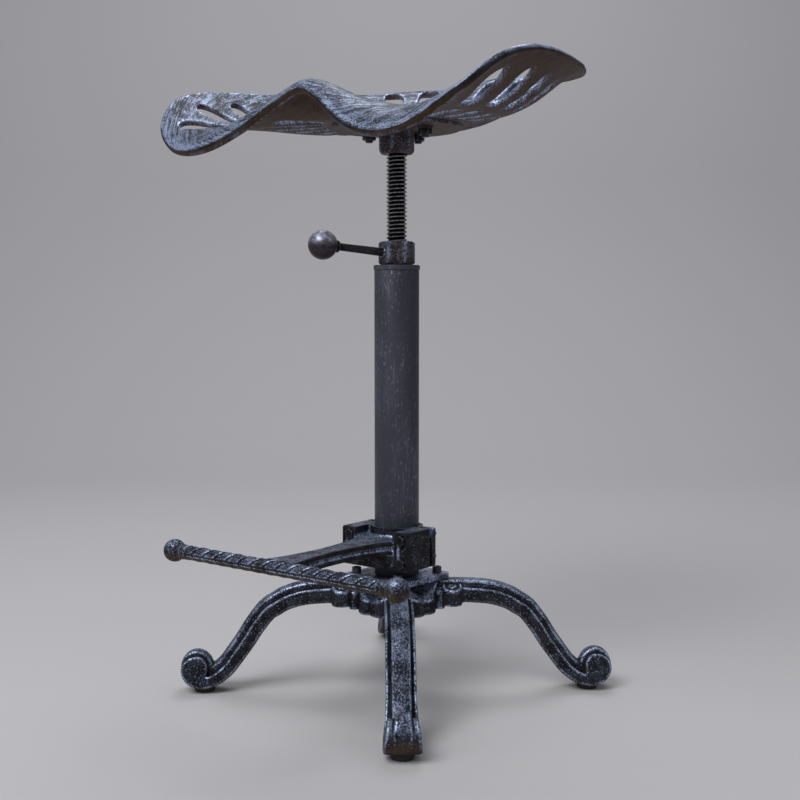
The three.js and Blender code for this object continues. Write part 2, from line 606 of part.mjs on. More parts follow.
// Threaded rod: a helical ramp of root and crest rows, cut square at both ends
function thread(bottom, top) {
  const rows = THREAD_ROWS * (Math.ceil((top - bottom) / THREAD_PITCH) + 2);
  const start = bottom - THREAD_PITCH;
  const positions = [];
  const faces = [];
  const at = (i, j) => j * (THREAD_SEGMENTS + 1) + i;
  for (let j = 0; j <= rows; j += 1) {
    const radius = (j % THREAD_ROWS === 0 ? THREAD_MINOR : THREAD_MAJOR) / 2;
    for (let i = 0; i <= THREAD_SEGMENTS; i += 1) {
      const angle = i % THREAD_SEGMENTS * 2 * Math.PI / THREAD_SEGMENTS;
      const z = start + THREAD_PITCH * (j / THREAD_ROWS + i / THREAD_SEGMENTS);
      positions.push(radius * Math.cos(angle), radius * Math.sin(angle), z);
    }
  }
  for (let j = 0; j < rows; j += 1) {
    for (let i = 0; i < THREAD_SEGMENTS; i += 1) {
      faces.push(at(i, j), at(i + 1, j), at(i, j + 1), at(i + 1, j), at(i + 1, j + 1), at(i, j + 1));
    }
  }
  const low = [];
  const high = [];
  for (let i = 0; i <= THREAD_SEGMENTS; i += 1) {
    low.unshift(at(i, 0));
    high.push(at(i, rows));
  }
  for (let j = 1; j <= THREAD_ROWS; j += 1) {
    low.push(at(0, j));
    high.push(at(THREAD_SEGMENTS, rows - j));
  }
  for (const [loop, z] of [[low, start], [high, start + THREAD_PITCH * (rows / THREAD_ROWS + 1)]]) {
    const hub = positions.length / 3;
    positions.push(0, 0, z);
    for (let k = 0; k + 1 < loop.length; k += 1) {
      faces.push(hub, loop[k], loop[k + 1]);
    }
  }
  const geometry = new THREE.BufferGeometry();
  geometry.setAttribute('position', new THREE.Float32BufferAttribute(positions, 3));
  geometry.setIndex(faces);
  return solid(geometry).intersect(post(THREAD_MAJOR, bottom, top, SMALL_SEGMENTS));
}

const bushTop = ROD_BOTTOM + BUSH_END + BUSH_LENGTH;
const threadBottom = bushTop + RUNNING_GAP + THREAD_RUNOUT;
add('threaded_rod', union([
  post(THREAD_MAJOR / 2, ROD_BOTTOM, ROD_BOTTOM + BUSH_END - RUNNING_GAP, SMALL_SEGMENTS),
  post(THREAD_MINOR / 2, ROD_BOTTOM, threadBottom, SMALL_SEGMENTS),
  post(THREAD_MAJOR / 2, bushTop + RUNNING_GAP, threadBottom, SMALL_SEGMENTS),
  thread(threadBottom, BOSS_BOTTOM),
  post(THREAD_MAJOR / 2, BOSS_BOTTOM, ROD_TOP, SMALL_SEGMENTS),
]), OILED_STEEL);

// Guide bush that slides in the tube with the rod and stops it from leaving the cap
add('guide_bush', ring(
  THREAD_MINOR / 2 + RUNNING_GAP,
  TUBE_BORE / 2 - BUSH_WALL_GAP,
  ROD_BOTTOM + BUSH_END,
  bushTop,
), BOLT_STEEL);

// Footrest clamp: front half with the arm, rear strap, four bolts
const boltLevels = [-1, 1].map((side) => CLAMP_MIDDLE + side * CLAMP_BOLT_SPREAD / 2);
const boltPlaces = [-1, 1].flatMap((side) => boltLevels.map((level) => [side * CLAMP_BOLT_ASIDE, level]));

function alongY(body, x, y, z) {
  return aimed(body, new THREE.Vector3(x, y, z), new THREE.Vector3(0, 1, 0));
}

function clampBoltHoles() {
  const radius = CLAMP_BOLT_DIAMETER / 2 + BOLT_CLEARANCE;
  const hole = post(radius, -CLAMP_DEPTH - OVERRUN, CLAMP_DEPTH, SMALL_SEGMENTS);
  return union(boltPlaces.map(([x, z]) => alongY(hole, x, 0, z)));
}

function roundedBlock(x0, x1, y0, y1, z0, z1, r) {
  return prism(polygon([
    [x0 + r, y0], [x1 - r, y0], [x1, y0 + r], [x1, y1], [x0, y1], [x0, y0 + r],
  ]), z0, z1);
}

// Outline of the arm seen from above, drawn in by an inset
function armOutline(inset) {
  const root = ARM_ROOT_WIDTH / 2 - inset;
  const waist = ARM_WAIST_WIDTH / 2 - inset;
  const end = ARM_END_WIDTH / 2 - inset;
  const back = -CLAMP_DEPTH + OVERRUN;
  const span = FOOTREST_OUT - CLAMP_DEPTH;
  const near = span * ARM_NEAR_SHARE;
  const side = new THREE.CatmullRomCurve3([
    new THREE.Vector3(root, -CLAMP_DEPTH, 0),
    new THREE.Vector3(THREE.MathUtils.lerp(waist, root, ARM_FLARE_SHARE), -CLAMP_DEPTH - near, 0),
    new THREE.Vector3(waist, -CLAMP_DEPTH - span / 2, 0),
    new THREE.Vector3(THREE.MathUtils.lerp(waist, end, ARM_FLARE_SHARE), near - FOOTREST_OUT, 0),
    new THREE.Vector3(end, -FOOTREST_OUT, 0),
  ]).getPoints(ARM_SEGMENTS);
  const right = side.map((p) => [p.x, p.y]);
  const left = right.map(([x, y]) => [-x, y]).reverse();
  return polygon([[root, back], ...right, ...left, [-root, back]]);
}

function buildArm() {
  const bottom = FOOTREST_LEVEL - ARM_HEIGHT / 2;
  const top = FOOTREST_LEVEL + ARM_HEIGHT / 2;
  return union([
    prism(armOutline(ARM_WEB_INSET), bottom, top),
    prism(armOutline(0), bottom, bottom + ARM_FLANGE),
    prism(armOutline(0), top - ARM_FLANGE, top),
  ]);
}

function buildClampFront() {
  const ear = roundedBlock(
    -CLAMP_WIDTH / 2, CLAMP_WIDTH / 2, -CLAMP_DEPTH, 0, CLAMP_BOTTOM, CLAMP_TOP, CLAMP_CORNER,
  );
  const ledge = CLAMP_BOTTOM + CLAMP_HEIGHT * CLAMP_LEDGE_SHARE;
  const dip = block(
    -CLAMP_EAR_INSIDE, CLAMP_EAR_INSIDE, -CLAMP_DEPTH - OVERRUN, 0, ledge, CLAMP_TOP + OVERRUN,
  );
  const front = ear.subtract(dip)
    .add(post(CLAMP_SHELL_RADIUS, CLAMP_BOTTOM, CLAMP_TOP, TUBE_SEGMENTS)
      .intersect(block(-CLAMP_WIDTH, CLAMP_WIDTH, -CLAMP_DEPTH, 0, CLAMP_BOTTOM, CLAMP_TOP)))
    .add(buildArm());
  const pockets = [-1, 1].flatMap((side) => boltLevels.map((level) => {
    const high = level > CLAMP_MIDDLE;
    const x0 = side * CLAMP_SHELL_RADIUS;
    const x1 = side * (CLAMP_WIDTH / 2 - POCKET_RIM);
    return block(
      Math.min(x0, x1), Math.max(x0, x1), -CLAMP_DEPTH - OVERRUN, POCKET_FLOOR,
      high ? CLAMP_MIDDLE + POCKET_RIM / 2 : CLAMP_BOTTOM + POCKET_RIM,
      high ? CLAMP_TOP - POCKET_RIM : CLAMP_MIDDLE - POCKET_RIM / 2,
    );
  }));
  const barSeat = aimed(
    post(BAR_CORNER_DIAMETER / 2 + SEAT_GAP, -FOOTREST_LENGTH, FOOTREST_LENGTH),
    new THREE.Vector3(0, -FOOTREST_OUT, FOOTREST_LEVEL),
    new THREE.Vector3(1, 0, 0),
  );
  return front.subtract(union(pockets)).subtract(barSeat).subtract(clampBoltHoles())
    .subtract(post(CLAMP_BORE, CLAMP_BOTTOM - OVERRUN, CLAMP_TOP + OVERRUN, TUBE_SEGMENTS));
}

function buildClampRear() {
  const strap = roundedBlock(
    -CLAMP_WIDTH / 2, CLAMP_WIDTH / 2, -EAR_BACK, -CLAMP_SPLIT, CLAMP_BOTTOM, CLAMP_TOP, CLAMP_CORNER,
  ).rotate([0, 0, HALF_TURN]);
  const shell = post(CLAMP_SHELL_RADIUS, CLAMP_BOTTOM, CLAMP_TOP, TUBE_SEGMENTS)
    .intersect(block(-CLAMP_WIDTH, CLAMP_WIDTH, CLAMP_SPLIT, CLAMP_DEPTH, CLAMP_BOTTOM, CLAMP_TOP));
  return strap.add(shell).subtract(clampBoltHoles())
    .subtract(post(CLAMP_BORE, CLAMP_BOTTOM - OVERRUN, CLAMP_TOP + OVERRUN, TUBE_SEGMENTS));
}

add('clamp_front', buildClampFront(), CAST_IRON);
add('clamp_rear', buildClampRear(), CAST_IRON);

boltPlaces.forEach(([x, z], k) => {
  const face = POCKET_FLOOR - SEAT_GAP;
  const nutFace = EAR_BACK + SEAT_GAP;
  const bolt = hexagon(CLAMP_BOLT_HEAD, face - CLAMP_BOLT_HEAD_HEIGHT, face, CLAMP_BOLT_EDGE, 0)
    .add(post(CLAMP_BOLT_DIAMETER / 2, face, nutFace + CLAMP_NUT_HEIGHT + CLAMP_BOLT_TAIL, SMALL_SEGMENTS));
  const nut = hexagon(CLAMP_BOLT_HEAD, nutFace, nutFace + CLAMP_NUT_HEIGHT, 0, CLAMP_BOLT_EDGE)
    .subtract(post(CLAMP_BOLT_DIAMETER / 2 + BOLT_CLEARANCE, 0, CLAMP_DEPTH, SMALL_SEGMENTS));
  add(`clamp_bolt_${k + 1}`, alongY(bolt, x, 0, z), BOLT_STEEL);
  add(`clamp_nut_${k + 1}`, alongY(nut, x, 0, z), BOLT_STEEL);
});

// Footrest bar: square bar twisted along its length, with a ball on each end
function buildBar() {
  const half = FOOTREST_LENGTH / 2 - BALL_DIAMETER / 2 + BALL_SOCKET_DEPTH - SEAT_GAP;
  const turn = -2 * Math.PI * BAR_MARKS / BAR_SIDES / FOOTREST_LENGTH;
  const rings = [];
  for (let i = 0; i < TWIST_STATIONS; i += 1) {
    const x = THREE.MathUtils.lerp(-half, half, i / (TWIST_STATIONS - 1));
    const points = [];
    for (let k = 0; k < 2 * BAR_SIDES; k += 1) {
      const radius = (k % 2 === 0 ? BAR_CORNER_DIAMETER : BAR_FLAT_DIAMETER) / 2;
      const angle = turn * x + k * Math.PI / BAR_SIDES;
      points.push(new THREE.Vector3(
        x,
        -FOOTREST_OUT + radius * Math.cos(angle),
        FOOTREST_LEVEL + radius * Math.sin(angle),
      ));
    }
    rings.push(points);
  }
  return loft(rings);
}

add('footrest_bar', buildBar(), CAST_IRON);
for (const [name, side] of [['footrest_ball_right', -1], ['footrest_ball_left', 1]]) {
  const outward = new THREE.Vector3(side, 0, 0);
  const centre = new THREE.Vector3(side * FOOTREST_LENGTH / 2, -FOOTREST_OUT, FOOTREST_LEVEL);
  const socket = aimed(
    post(BAR_CORNER_DIAMETER / 2 + SEAT_GAP, -BALL_DIAMETER, -BALL_DIAMETER / 2 + BALL_SOCKET_DEPTH),
    centre,
    outward,
  );
  add(name, ball(BALL_DIAMETER / 2, centre, outward).subtract(socket), CAST_IRON);
}

// Seat boss: hexagon on the rod with a round plate under the pan
const seatBoltPlaces = Array.from({ length: SEAT_BOLT_COUNT }, (_, k) => k * 2 * Math.PI / SEAT_BOLT_COUNT);

function atSeatBolt(body, angle) {
  return turnedBy(body.translate([SEAT_BOLT_RADIUS_OUT, 0, 0]), angle);
}

const seatBoltHoles = union(seatBoltPlaces.map((angle) => atSeatBolt(
  post(SEAT_BOLT_DIAMETER / 2 + BOLT_CLEARANCE, BOSS_BOTTOM, PAN_MIDDLE + PAN_THICKNESS, SMALL_SEGMENTS),
  angle,
)));
add('seat_boss', turnedBy(
  hexagon(NUT_ACROSS_FLATS, BOSS_BOTTOM, BOSS_PLATE_BOTTOM + BOSS_PLATE_THICKNESS / 2, BOSS_CHAMFER, 0),
  BOSS_TURN,
)
  .add(post(BOSS_PLATE_DIAMETER / 2, BOSS_PLATE_BOTTOM, BOSS_PLATE_TOP, TUBE_SEGMENTS))
  .subtract(post(THREAD_MAJOR / 2 + SEAT_GAP, BOSS_BOTTOM - OVERRUN, BOSS_PLATE_TOP - BOSS_BLIND))
  .subtract(seatBoltHoles), CAST_IRON);

// Seat pan: a closed shell on a polar grid, slotted in two rings round its sides and back
function rimAt(degrees) {
  return PAN_HALF_WIDTH * around(RIM_REACH_SHARES, degrees) - RIM_THICKNESS / 2;
}

function panPoint(degrees, reach) {
  const rim = rimAt(degrees);
  const rise = PAN_RISE * around(RIM_RISE_SHARES, degrees) + RIM_ROLL;
  const mid = PAN_RISE * around(BOWL_RISE_SHARES, degrees);
  const square = 8 * mid - rise;
  const cube = 2 * rise - 8 * mid;
  const t = THREE.MathUtils.clamp((reach - PAN_FLAT_RADIUS) / (rim - PAN_FLAT_RADIUS), 0, 1);
  const over = Math.max(0, (t - ROLL_START_SHARE) / (1 - ROLL_START_SHARE));
  const angle = THREE.MathUtils.degToRad(degrees);
  return new THREE.Vector3(
    reach * Math.sin(angle),
    -reach * Math.cos(angle),
    PAN_MIDDLE + square * t ** 2 + cube * t ** 3 - RIM_ROLL * over ** 2,
  );
}

// Point on the pan's skin: lift is the share of the thickness above or below the middle
function skinPoint(degrees, reach, lift, beyond) {
  const rim = rimAt(degrees);
  const here = panPoint(degrees, reach);
  const outward = here.clone().sub(panPoint(degrees, reach - PROBE)).normalize();
  const edge = (angle) => panPoint(degrees + angle, reach * rimAt(degrees + angle) / rim);
  const aside = edge(PROBE).sub(edge(-PROBE)).normalize();
  const normal = outward.clone().cross(aside).normalize();
  const thick = THREE.MathUtils.lerp(
    PAN_THICKNESS,
    RIM_THICKNESS,
    THREE.MathUtils.smoothstep(reach / rim, ROLL_START_SHARE, 1),
  );
  return here.addScaledVector(normal, lift * thick).addScaledVector(outward, beyond * thick);
}

function buildPanBody() {
  const reachAt = (degrees, row) => THREE.MathUtils.lerp(
    PAN_FLAT_RADIUS,
    rimAt(degrees),
    row / PAN_ROWS,
  );
  const flat = (degrees, lift) => panPoint(degrees, PAN_FLAT_RADIUS)
    .addScaledVector(UP, lift * PAN_THICKNESS);
  const rows = [(d) => flat(d, 1 / 2)];
  for (let row = 1; row <= PAN_ROWS; row += 1) {
    rows.push((d) => skinPoint(d, reachAt(d, row), 1 / 2, 0));
  }
  for (let k = 1; k < RIM_EDGE_SEGMENTS; k += 1) {
    const angle = Math.PI / 2 - k * Math.PI / RIM_EDGE_SEGMENTS;
    rows.push((d) => skinPoint(d, rimAt(d), Math.sin(angle) / 2, Math.cos(angle) / 2));
  }
  for (let row = PAN_ROWS; row >= 1; row -= 1) {
    rows.push((d) => skinPoint(d, reachAt(d, row), -1 / 2, 0));
  }
  rows.push((d) => flat(d, -1 / 2));
  const positions = [];
  const faces = [];
  for (const row of rows) {
    for (let k = 0; k < PAN_SECTORS; k += 1) {
      const p = row(k * 2 * HALF_TURN / PAN_SECTORS);
      positions.push(p.x, p.y, p.z);
    }
  }
  for (let j = 0; j + 1 < rows.length; j += 1) {
    for (let k = 0; k < PAN_SECTORS; k += 1) {
      const a = j * PAN_SECTORS + k;
      const b = j * PAN_SECTORS + (k + 1) % PAN_SECTORS;
      faces.push(a, a + PAN_SECTORS, b, b, a + PAN_SECTORS, b + PAN_SECTORS);
    }
  }
  const hub = rows.length * PAN_SECTORS;
  positions.push(0, 0, PAN_MIDDLE + PAN_THICKNESS / 2, 0, 0, PAN_MIDDLE - PAN_THICKNESS / 2);
  const last = (rows.length - 1) * PAN_SECTORS;
  for (let k = 0; k < PAN_SECTORS; k += 1) {
    const next = (k + 1) % PAN_SECTORS;
    faces.push(hub, k, next);
    faces.push(hub + 1, last + next, last + k);
  }
  const geometry = new THREE.BufferGeometry();
  geometry.setAttribute('position', new THREE.Float32BufferAttribute(positions, 3));
  geometry.setIndex(faces);
  return solid(geometry);
}

// One slot with round ends, from the axis outwards along X, as wide as a share of the pitch
function slotBody(from, to) {
  const spread = Math.tan(THREE.MathUtils.degToRad(SLOT_PITCH_DEG * SLOT_WIDTH_SHARE / 2));
  const outline = [];
  for (const [middle, radius, start] of [
    [to / (1 + spread), to * spread / (1 + spread), -Math.PI / 2],
    [from / (1 - spread), from * spread / (1 - spread), Math.PI / 2],
  ]) {
    for (let k = 0; k <= SLOT_END_SEGMENTS; k += 1) {
      const angle = start + k * Math.PI / SLOT_END_SEGMENTS;
      outline.push([middle + radius * Math.cos(angle), radius * Math.sin(angle)]);
    }
  }
  return prism(polygon(outline), PAN_MIDDLE - PAN_RISE, PAN_MIDDLE + 2 * PAN_RISE);
}

function panSlots() {
  const bodies = [];
  for (let j = 0; j <= INNER_SLOT_LAST; j += 1) {
    for (const side of j === 0 ? [1] : [1, -1]) {
      const degrees = HALF_TURN - side * SLOT_PITCH_DEG * j;
      const turn = THREE.MathUtils.degToRad(degrees) - Math.PI / 2;
      const rim = rimAt(degrees);
      const innerEnd = THREE.MathUtils.lerp(PAN_FLAT_RADIUS, rim, INNER_SLOT_END_SHARE);
      const outerStart = THREE.MathUtils.lerp(PAN_FLAT_RADIUS, rim, OUTER_SLOT_START_SHARE);
      bodies.push(turnedBy(slotBody(INNER_SLOT_START, innerEnd), turn));
      if (j <= OUTER_SLOT_LAST) {
        bodies.push(turnedBy(slotBody(outerStart, rim - OUTER_SLOT_MARGIN), turn));
      }
    }
  }
  return union(bodies);
}

add('seat_pan', buildPanBody().subtract(panSlots()).subtract(seatBoltHoles), CAST_IRON);

const panTop = PAN_MIDDLE + PAN_THICKNESS / 2 + SEAT_GAP;
const washerTop = BOSS_PLATE_BOTTOM - SEAT_GAP;
const seatNutTop = washerTop - WASHER_THICKNESS - SEAT_GAP;
const boltBore = SEAT_BOLT_DIAMETER / 2 + BOLT_CLEARANCE;
seatBoltPlaces.forEach((angle, k) => {
  const head = SEAT_BOLT_HEAD / 2;
  const bolt = turned([
    [0, seatNutTop - SEAT_NUT_HEIGHT - SEAT_BOLT_TAIL],
    [SEAT_BOLT_DIAMETER / 2, seatNutTop - SEAT_NUT_HEIGHT - SEAT_BOLT_TAIL],
    [SEAT_BOLT_DIAMETER / 2, panTop], [head, panTop],
    [head * DOME_SHARE, panTop + SEAT_BOLT_HEAD_HEIGHT * DOME_SHARE], [0, panTop + SEAT_BOLT_HEAD_HEIGHT],
  ], SMALL_SEGMENTS);
  const washer = ring(boltBore, WASHER_DIAMETER / 2, washerTop - WASHER_THICKNESS, washerTop, SMALL_SEGMENTS);
  const nut = hexagon(SEAT_NUT_ACROSS_FLATS, seatNutTop - SEAT_NUT_HEIGHT, seatNutTop, CLAMP_BOLT_EDGE, 0)
    .subtract(post(boltBore, BOSS_BOTTOM, BOSS_PLATE_TOP, SMALL_SEGMENTS));
  add(`seat_bolt_${k + 1}`, atSeatBolt(bolt, angle), BOLT_STEEL);
  add(`seat_washer_${k + 1}`, atSeatBolt(washer, angle), BOLT_STEEL);
  add(`seat_nut_${k + 1}`, atSeatBolt(nut, angle), BOLT_STEEL);
});

export default group;
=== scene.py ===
# %% [markdown]
# # Tractor seat stool
# A slotted cast seat turns on a screw that comes out of a tube column. A lever locks the screw, a
# twisted footrest bar hangs on a clamp round the column, and four scroll legs stand under a square plate.
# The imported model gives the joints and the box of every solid. This lesson puts a finely shaped skin over
# each solid and paints it as dark cast iron with silver rubbed over its raised edges.

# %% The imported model, and the helpers that the whole lesson uses
import math

import bmesh
import bpy
from mathutils import Matrix, Vector


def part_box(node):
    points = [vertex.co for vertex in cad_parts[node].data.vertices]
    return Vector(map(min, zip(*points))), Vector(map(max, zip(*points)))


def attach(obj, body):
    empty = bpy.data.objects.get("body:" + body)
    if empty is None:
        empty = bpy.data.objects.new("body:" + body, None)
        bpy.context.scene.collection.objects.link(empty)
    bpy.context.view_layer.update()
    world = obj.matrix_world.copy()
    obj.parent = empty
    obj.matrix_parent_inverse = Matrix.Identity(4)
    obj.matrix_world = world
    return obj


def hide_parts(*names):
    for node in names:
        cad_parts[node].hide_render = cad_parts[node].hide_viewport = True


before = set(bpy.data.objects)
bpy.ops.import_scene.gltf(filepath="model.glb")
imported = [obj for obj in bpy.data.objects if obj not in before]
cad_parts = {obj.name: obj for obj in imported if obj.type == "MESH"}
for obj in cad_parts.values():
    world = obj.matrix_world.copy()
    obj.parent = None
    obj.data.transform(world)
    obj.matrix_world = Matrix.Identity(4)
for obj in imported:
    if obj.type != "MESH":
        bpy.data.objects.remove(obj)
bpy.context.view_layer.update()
MM = 0.001
UP = Vector((0, 0, 1))
print("packed nodes:", len(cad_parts))


def box_mm(node):
    """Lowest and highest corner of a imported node, in millimetres."""
    low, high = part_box(node)
    return low / MM, high / MM


def heights(node):
    """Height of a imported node's underside and of its top, in millimetres."""
    return (corner.z for corner in box_mm(node))


def smooth_step(start, end, value):
    """0 before start, 1 after end, and an even curve between them."""
    share = min(max((value - start) / (end - start), 0), 1)
    return share * share * (3 - 2 * share)


def blend(low, high, share):
    """The value that lies at this share of the way from low to high."""
    return low + (high - low) * share


def curve(p, q, r, s, t):
    """A smooth curve from q to r for t from 0 to 1; p and s are the points before and after them."""
    return q + (r - p + (2 * p - 5 * q + 4 * r - s + (3 * (q - r) + s - p) * t) * t) * t / 2


def new_object(name, data):
    """An object of the scene that shows this mesh, camera or lamp."""
    thing = bpy.data.objects.new(name, data)
    bpy.context.collection.objects.link(thing)
    return thing


def new_mesh(name, bm):
    """Turns a bmesh into a mesh and lets the bmesh go."""
    mesh = bpy.data.meshes.new(name)
    bm.to_mesh(mesh)
    bm.free()
    return mesh


# %% [markdown]
# ## Camera
# The stool was photographed from a little above half its height, 38 degrees round from the front of the
# seat. A camera 1.34 m away with a lens of 56 mm gives the same outline, so it is set up first and every
# piece can be checked against the photograph.

# %% The camera
VIEW_TURN = math.radians(38)
VIEW_PITCH = math.radians(4.5)
VIEW_DISTANCE = 1.343
VIEW_HEIGHT = 0.425
VIEW_SHIFT = 0.0035
LENS_MM = 55.9

towards_camera = Vector((math.sin(VIEW_TURN), -math.cos(VIEW_TURN), 0))
camera_right = Vector((math.cos(VIEW_TURN), math.sin(VIEW_TURN), 0))
camera_data = bpy.data.cameras.new("photo_camera")
camera_data.lens = LENS_MM
camera_data.sensor_width = 36
camera_data.clip_end = 50
camera = new_object("photo_camera", camera_data)
camera.location = towards_camera * VIEW_DISTANCE + camera_right * VIEW_SHIFT + UP * VIEW_HEIGHT
looking = -towards_camera * math.cos(VIEW_PITCH) - UP * math.sin(VIEW_PITCH)
camera.rotation_euler = looking.to_track_quat("-Z", "Y").to_euler()
bpy.context.scene.camera = camera
print("camera at", [round(value, 3) for value in camera.location])

# %% [markdown]
# ## Finishes
# All the cast pieces are painted black and then rubbed with silver, so the silver stays on what stands
# out: edges, beads and faces that look up. On faces that look up the bluish silver is partly painted sky
# light, and faces that look down get painted shade in a dark brown that is partly a bronze tone. Two things
# tell the paint where that is. One is a number kept at every point of a mesh, `wear`, above zero on a
# ridge and below zero in a groove, which is measured on the finished shape. The other is the direction
# that the face looks in. A fine noise then breaks the silver into the grains that a rough casting leaves.

# %% A new finish
DARK_PAINT_SHINE = 0.12  # the black paint is oily and dull, so it mirrors little


def new_finish(name, color, metallic, roughness):
    """A material with its Principled shader, and the tree to hang nodes on."""
    material = bpy.data.materials.new(name)
    material.use_nodes = True
    tree = material.node_tree
    shader = tree.nodes["Principled BSDF"]
    shader.inputs["Base Color"].default_value = (*color, 1)
    shader.inputs["Metallic"].default_value = metallic
    shader.inputs["Roughness"].default_value = roughness
    shader.inputs["Specular IOR Level"].default_value = 0.5 if metallic == 0 else DARK_PAINT_SHINE
    return material, tree, shader


# %% Shorthands for nodes
def plug(tree, value, socket):
    """Feeds a socket with another node's output, or with a plain number or colour."""
    if isinstance(value, bpy.types.NodeSocket):
        tree.links.new(value, socket)
    else:
        socket.default_value = value


def maths(tree, operation, first, second, clamp=False):
    """One Math node on two values."""
    node = tree.nodes.new("ShaderNodeMath")
    node.operation = operation
    node.use_clamp = clamp
    plug(tree, first, node.inputs[0])
    plug(tree, second, node.inputs[1])
    return node.outputs[0]


def plus(tree, first, second, clamp=False):
    return maths(tree, "ADD", first, second, clamp)


def times(tree, first, second, clamp=False):
    return maths(tree, "MULTIPLY", first, second, clamp)


def spread(tree, value, low, high, to_low=0.0, to_high=1.0):
    """Stretches the part of a value between low and high over a new range, and holds it there."""
    node = tree.nodes.new("ShaderNodeMapRange")
    node.interpolation_type = "SMOOTHSTEP"
    plug(tree, value, node.inputs["Value"])
    for socket, number in zip(("From Min", "From Max", "To Min", "To Max"), (low, high, to_low, to_high)):
        node.inputs[socket].default_value = number
    return node.outputs["Result"]


def mixed(tree, share, first, second):
    """The first colour with a share of the second mixed in."""
    node = tree.nodes.new("ShaderNodeMix")
    node.data_type = "RGBA"
    plug(tree, share, node.inputs[0])
    for color, socket in ((first, node.inputs[6]), (second, node.inputs[7])):
        plug(tree, color if isinstance(color, bpy.types.NodeSocket) else (*color, 1), socket)
    return node.outputs[2]


# %% Noise, stored numbers, slope and bump
def grain(tree, place, scale, detail=2.0, stretch=(1, 1, 1), roughness=0.55):
    """Noise on the piece's own coordinates, in grains per metre."""
    mapping = tree.nodes.new("ShaderNodeMapping")
    mapping.inputs["Scale"].default_value = stretch
    tree.links.new(place, mapping.inputs["Vector"])
    node = tree.nodes.new("ShaderNodeTexNoise")
    node.inputs["Scale"].default_value = scale
    node.inputs["Detail"].default_value = detail
    node.inputs["Roughness"].default_value = roughness
    tree.links.new(mapping.outputs[0], node.inputs["Vector"])
    return node.outputs["Fac"]


def object_place(tree):
    return tree.nodes.new("ShaderNodeTexCoord").outputs["Object"]


def attribute(tree, name, output="Fac"):
    """A number or a place that was stored at every point of the mesh."""
    node = tree.nodes.new("ShaderNodeAttribute")
    node.attribute_name = name
    return node.outputs[output]


def facing_up(tree):
    """How far the face looks up: 1 on a level top, -1 on a level underside."""
    split = tree.nodes.new("ShaderNodeSeparateXYZ")
    tree.links.new(tree.nodes.new("ShaderNodeNewGeometry").outputs["Normal"], split.inputs[0])
    return split.outputs["Z"]


def roughen(tree, shader, height, depth_mm, strength=1.0):
    """Lets a noise stand out from the surface by so many millimetres."""
    bump = tree.nodes.new("ShaderNodeBump")
    bump.inputs["Strength"].default_value = strength
    bump.inputs["Distance"].default_value = depth_mm * MM
    tree.links.new(height, bump.inputs["Height"])
    tree.links.new(bump.outputs[0], shader.inputs["Normal"])


# %% Colours of the iron, the silver, and the dark brown of the undersides, which is partly a bronze tone and partly painted shade
IRON_BLACK = (0.006, 0.006, 0.008)
IRON_GREY = (0.024, 0.025, 0.033)
# bluish silver: partly the rubbed silver's own colour, partly painted sky light
SILVER_AND_SKYLIGHT = (0.37, 0.45, 0.66)
# dark brown for faces that look down: partly a bronze tone, partly painted shade and painted warm light
# thrown up from the floor
BRONZE_AND_UNDERSIDE_SHADE = (0.066, 0.037, 0.021)
print("silver rubbed over iron:", SILVER_AND_SKYLIGHT)

# %% Rubbed cast iron
FINE_GRAIN = 600  # grains per metre, like the next two
PATCH_GRAIN = 70
CRUMB_GRAIN = 520
SKIN_DEPTH = 0.4  # millimetres that the rough skin stands out


def crumbs_of(tree, place, scale, stretch=(1, 1, 1)):
    """Small separate grains that stand out of a rough casting and catch the light."""
    return spread(tree, grain(tree, place, scale, 2, stretch), 0.60, 0.67)


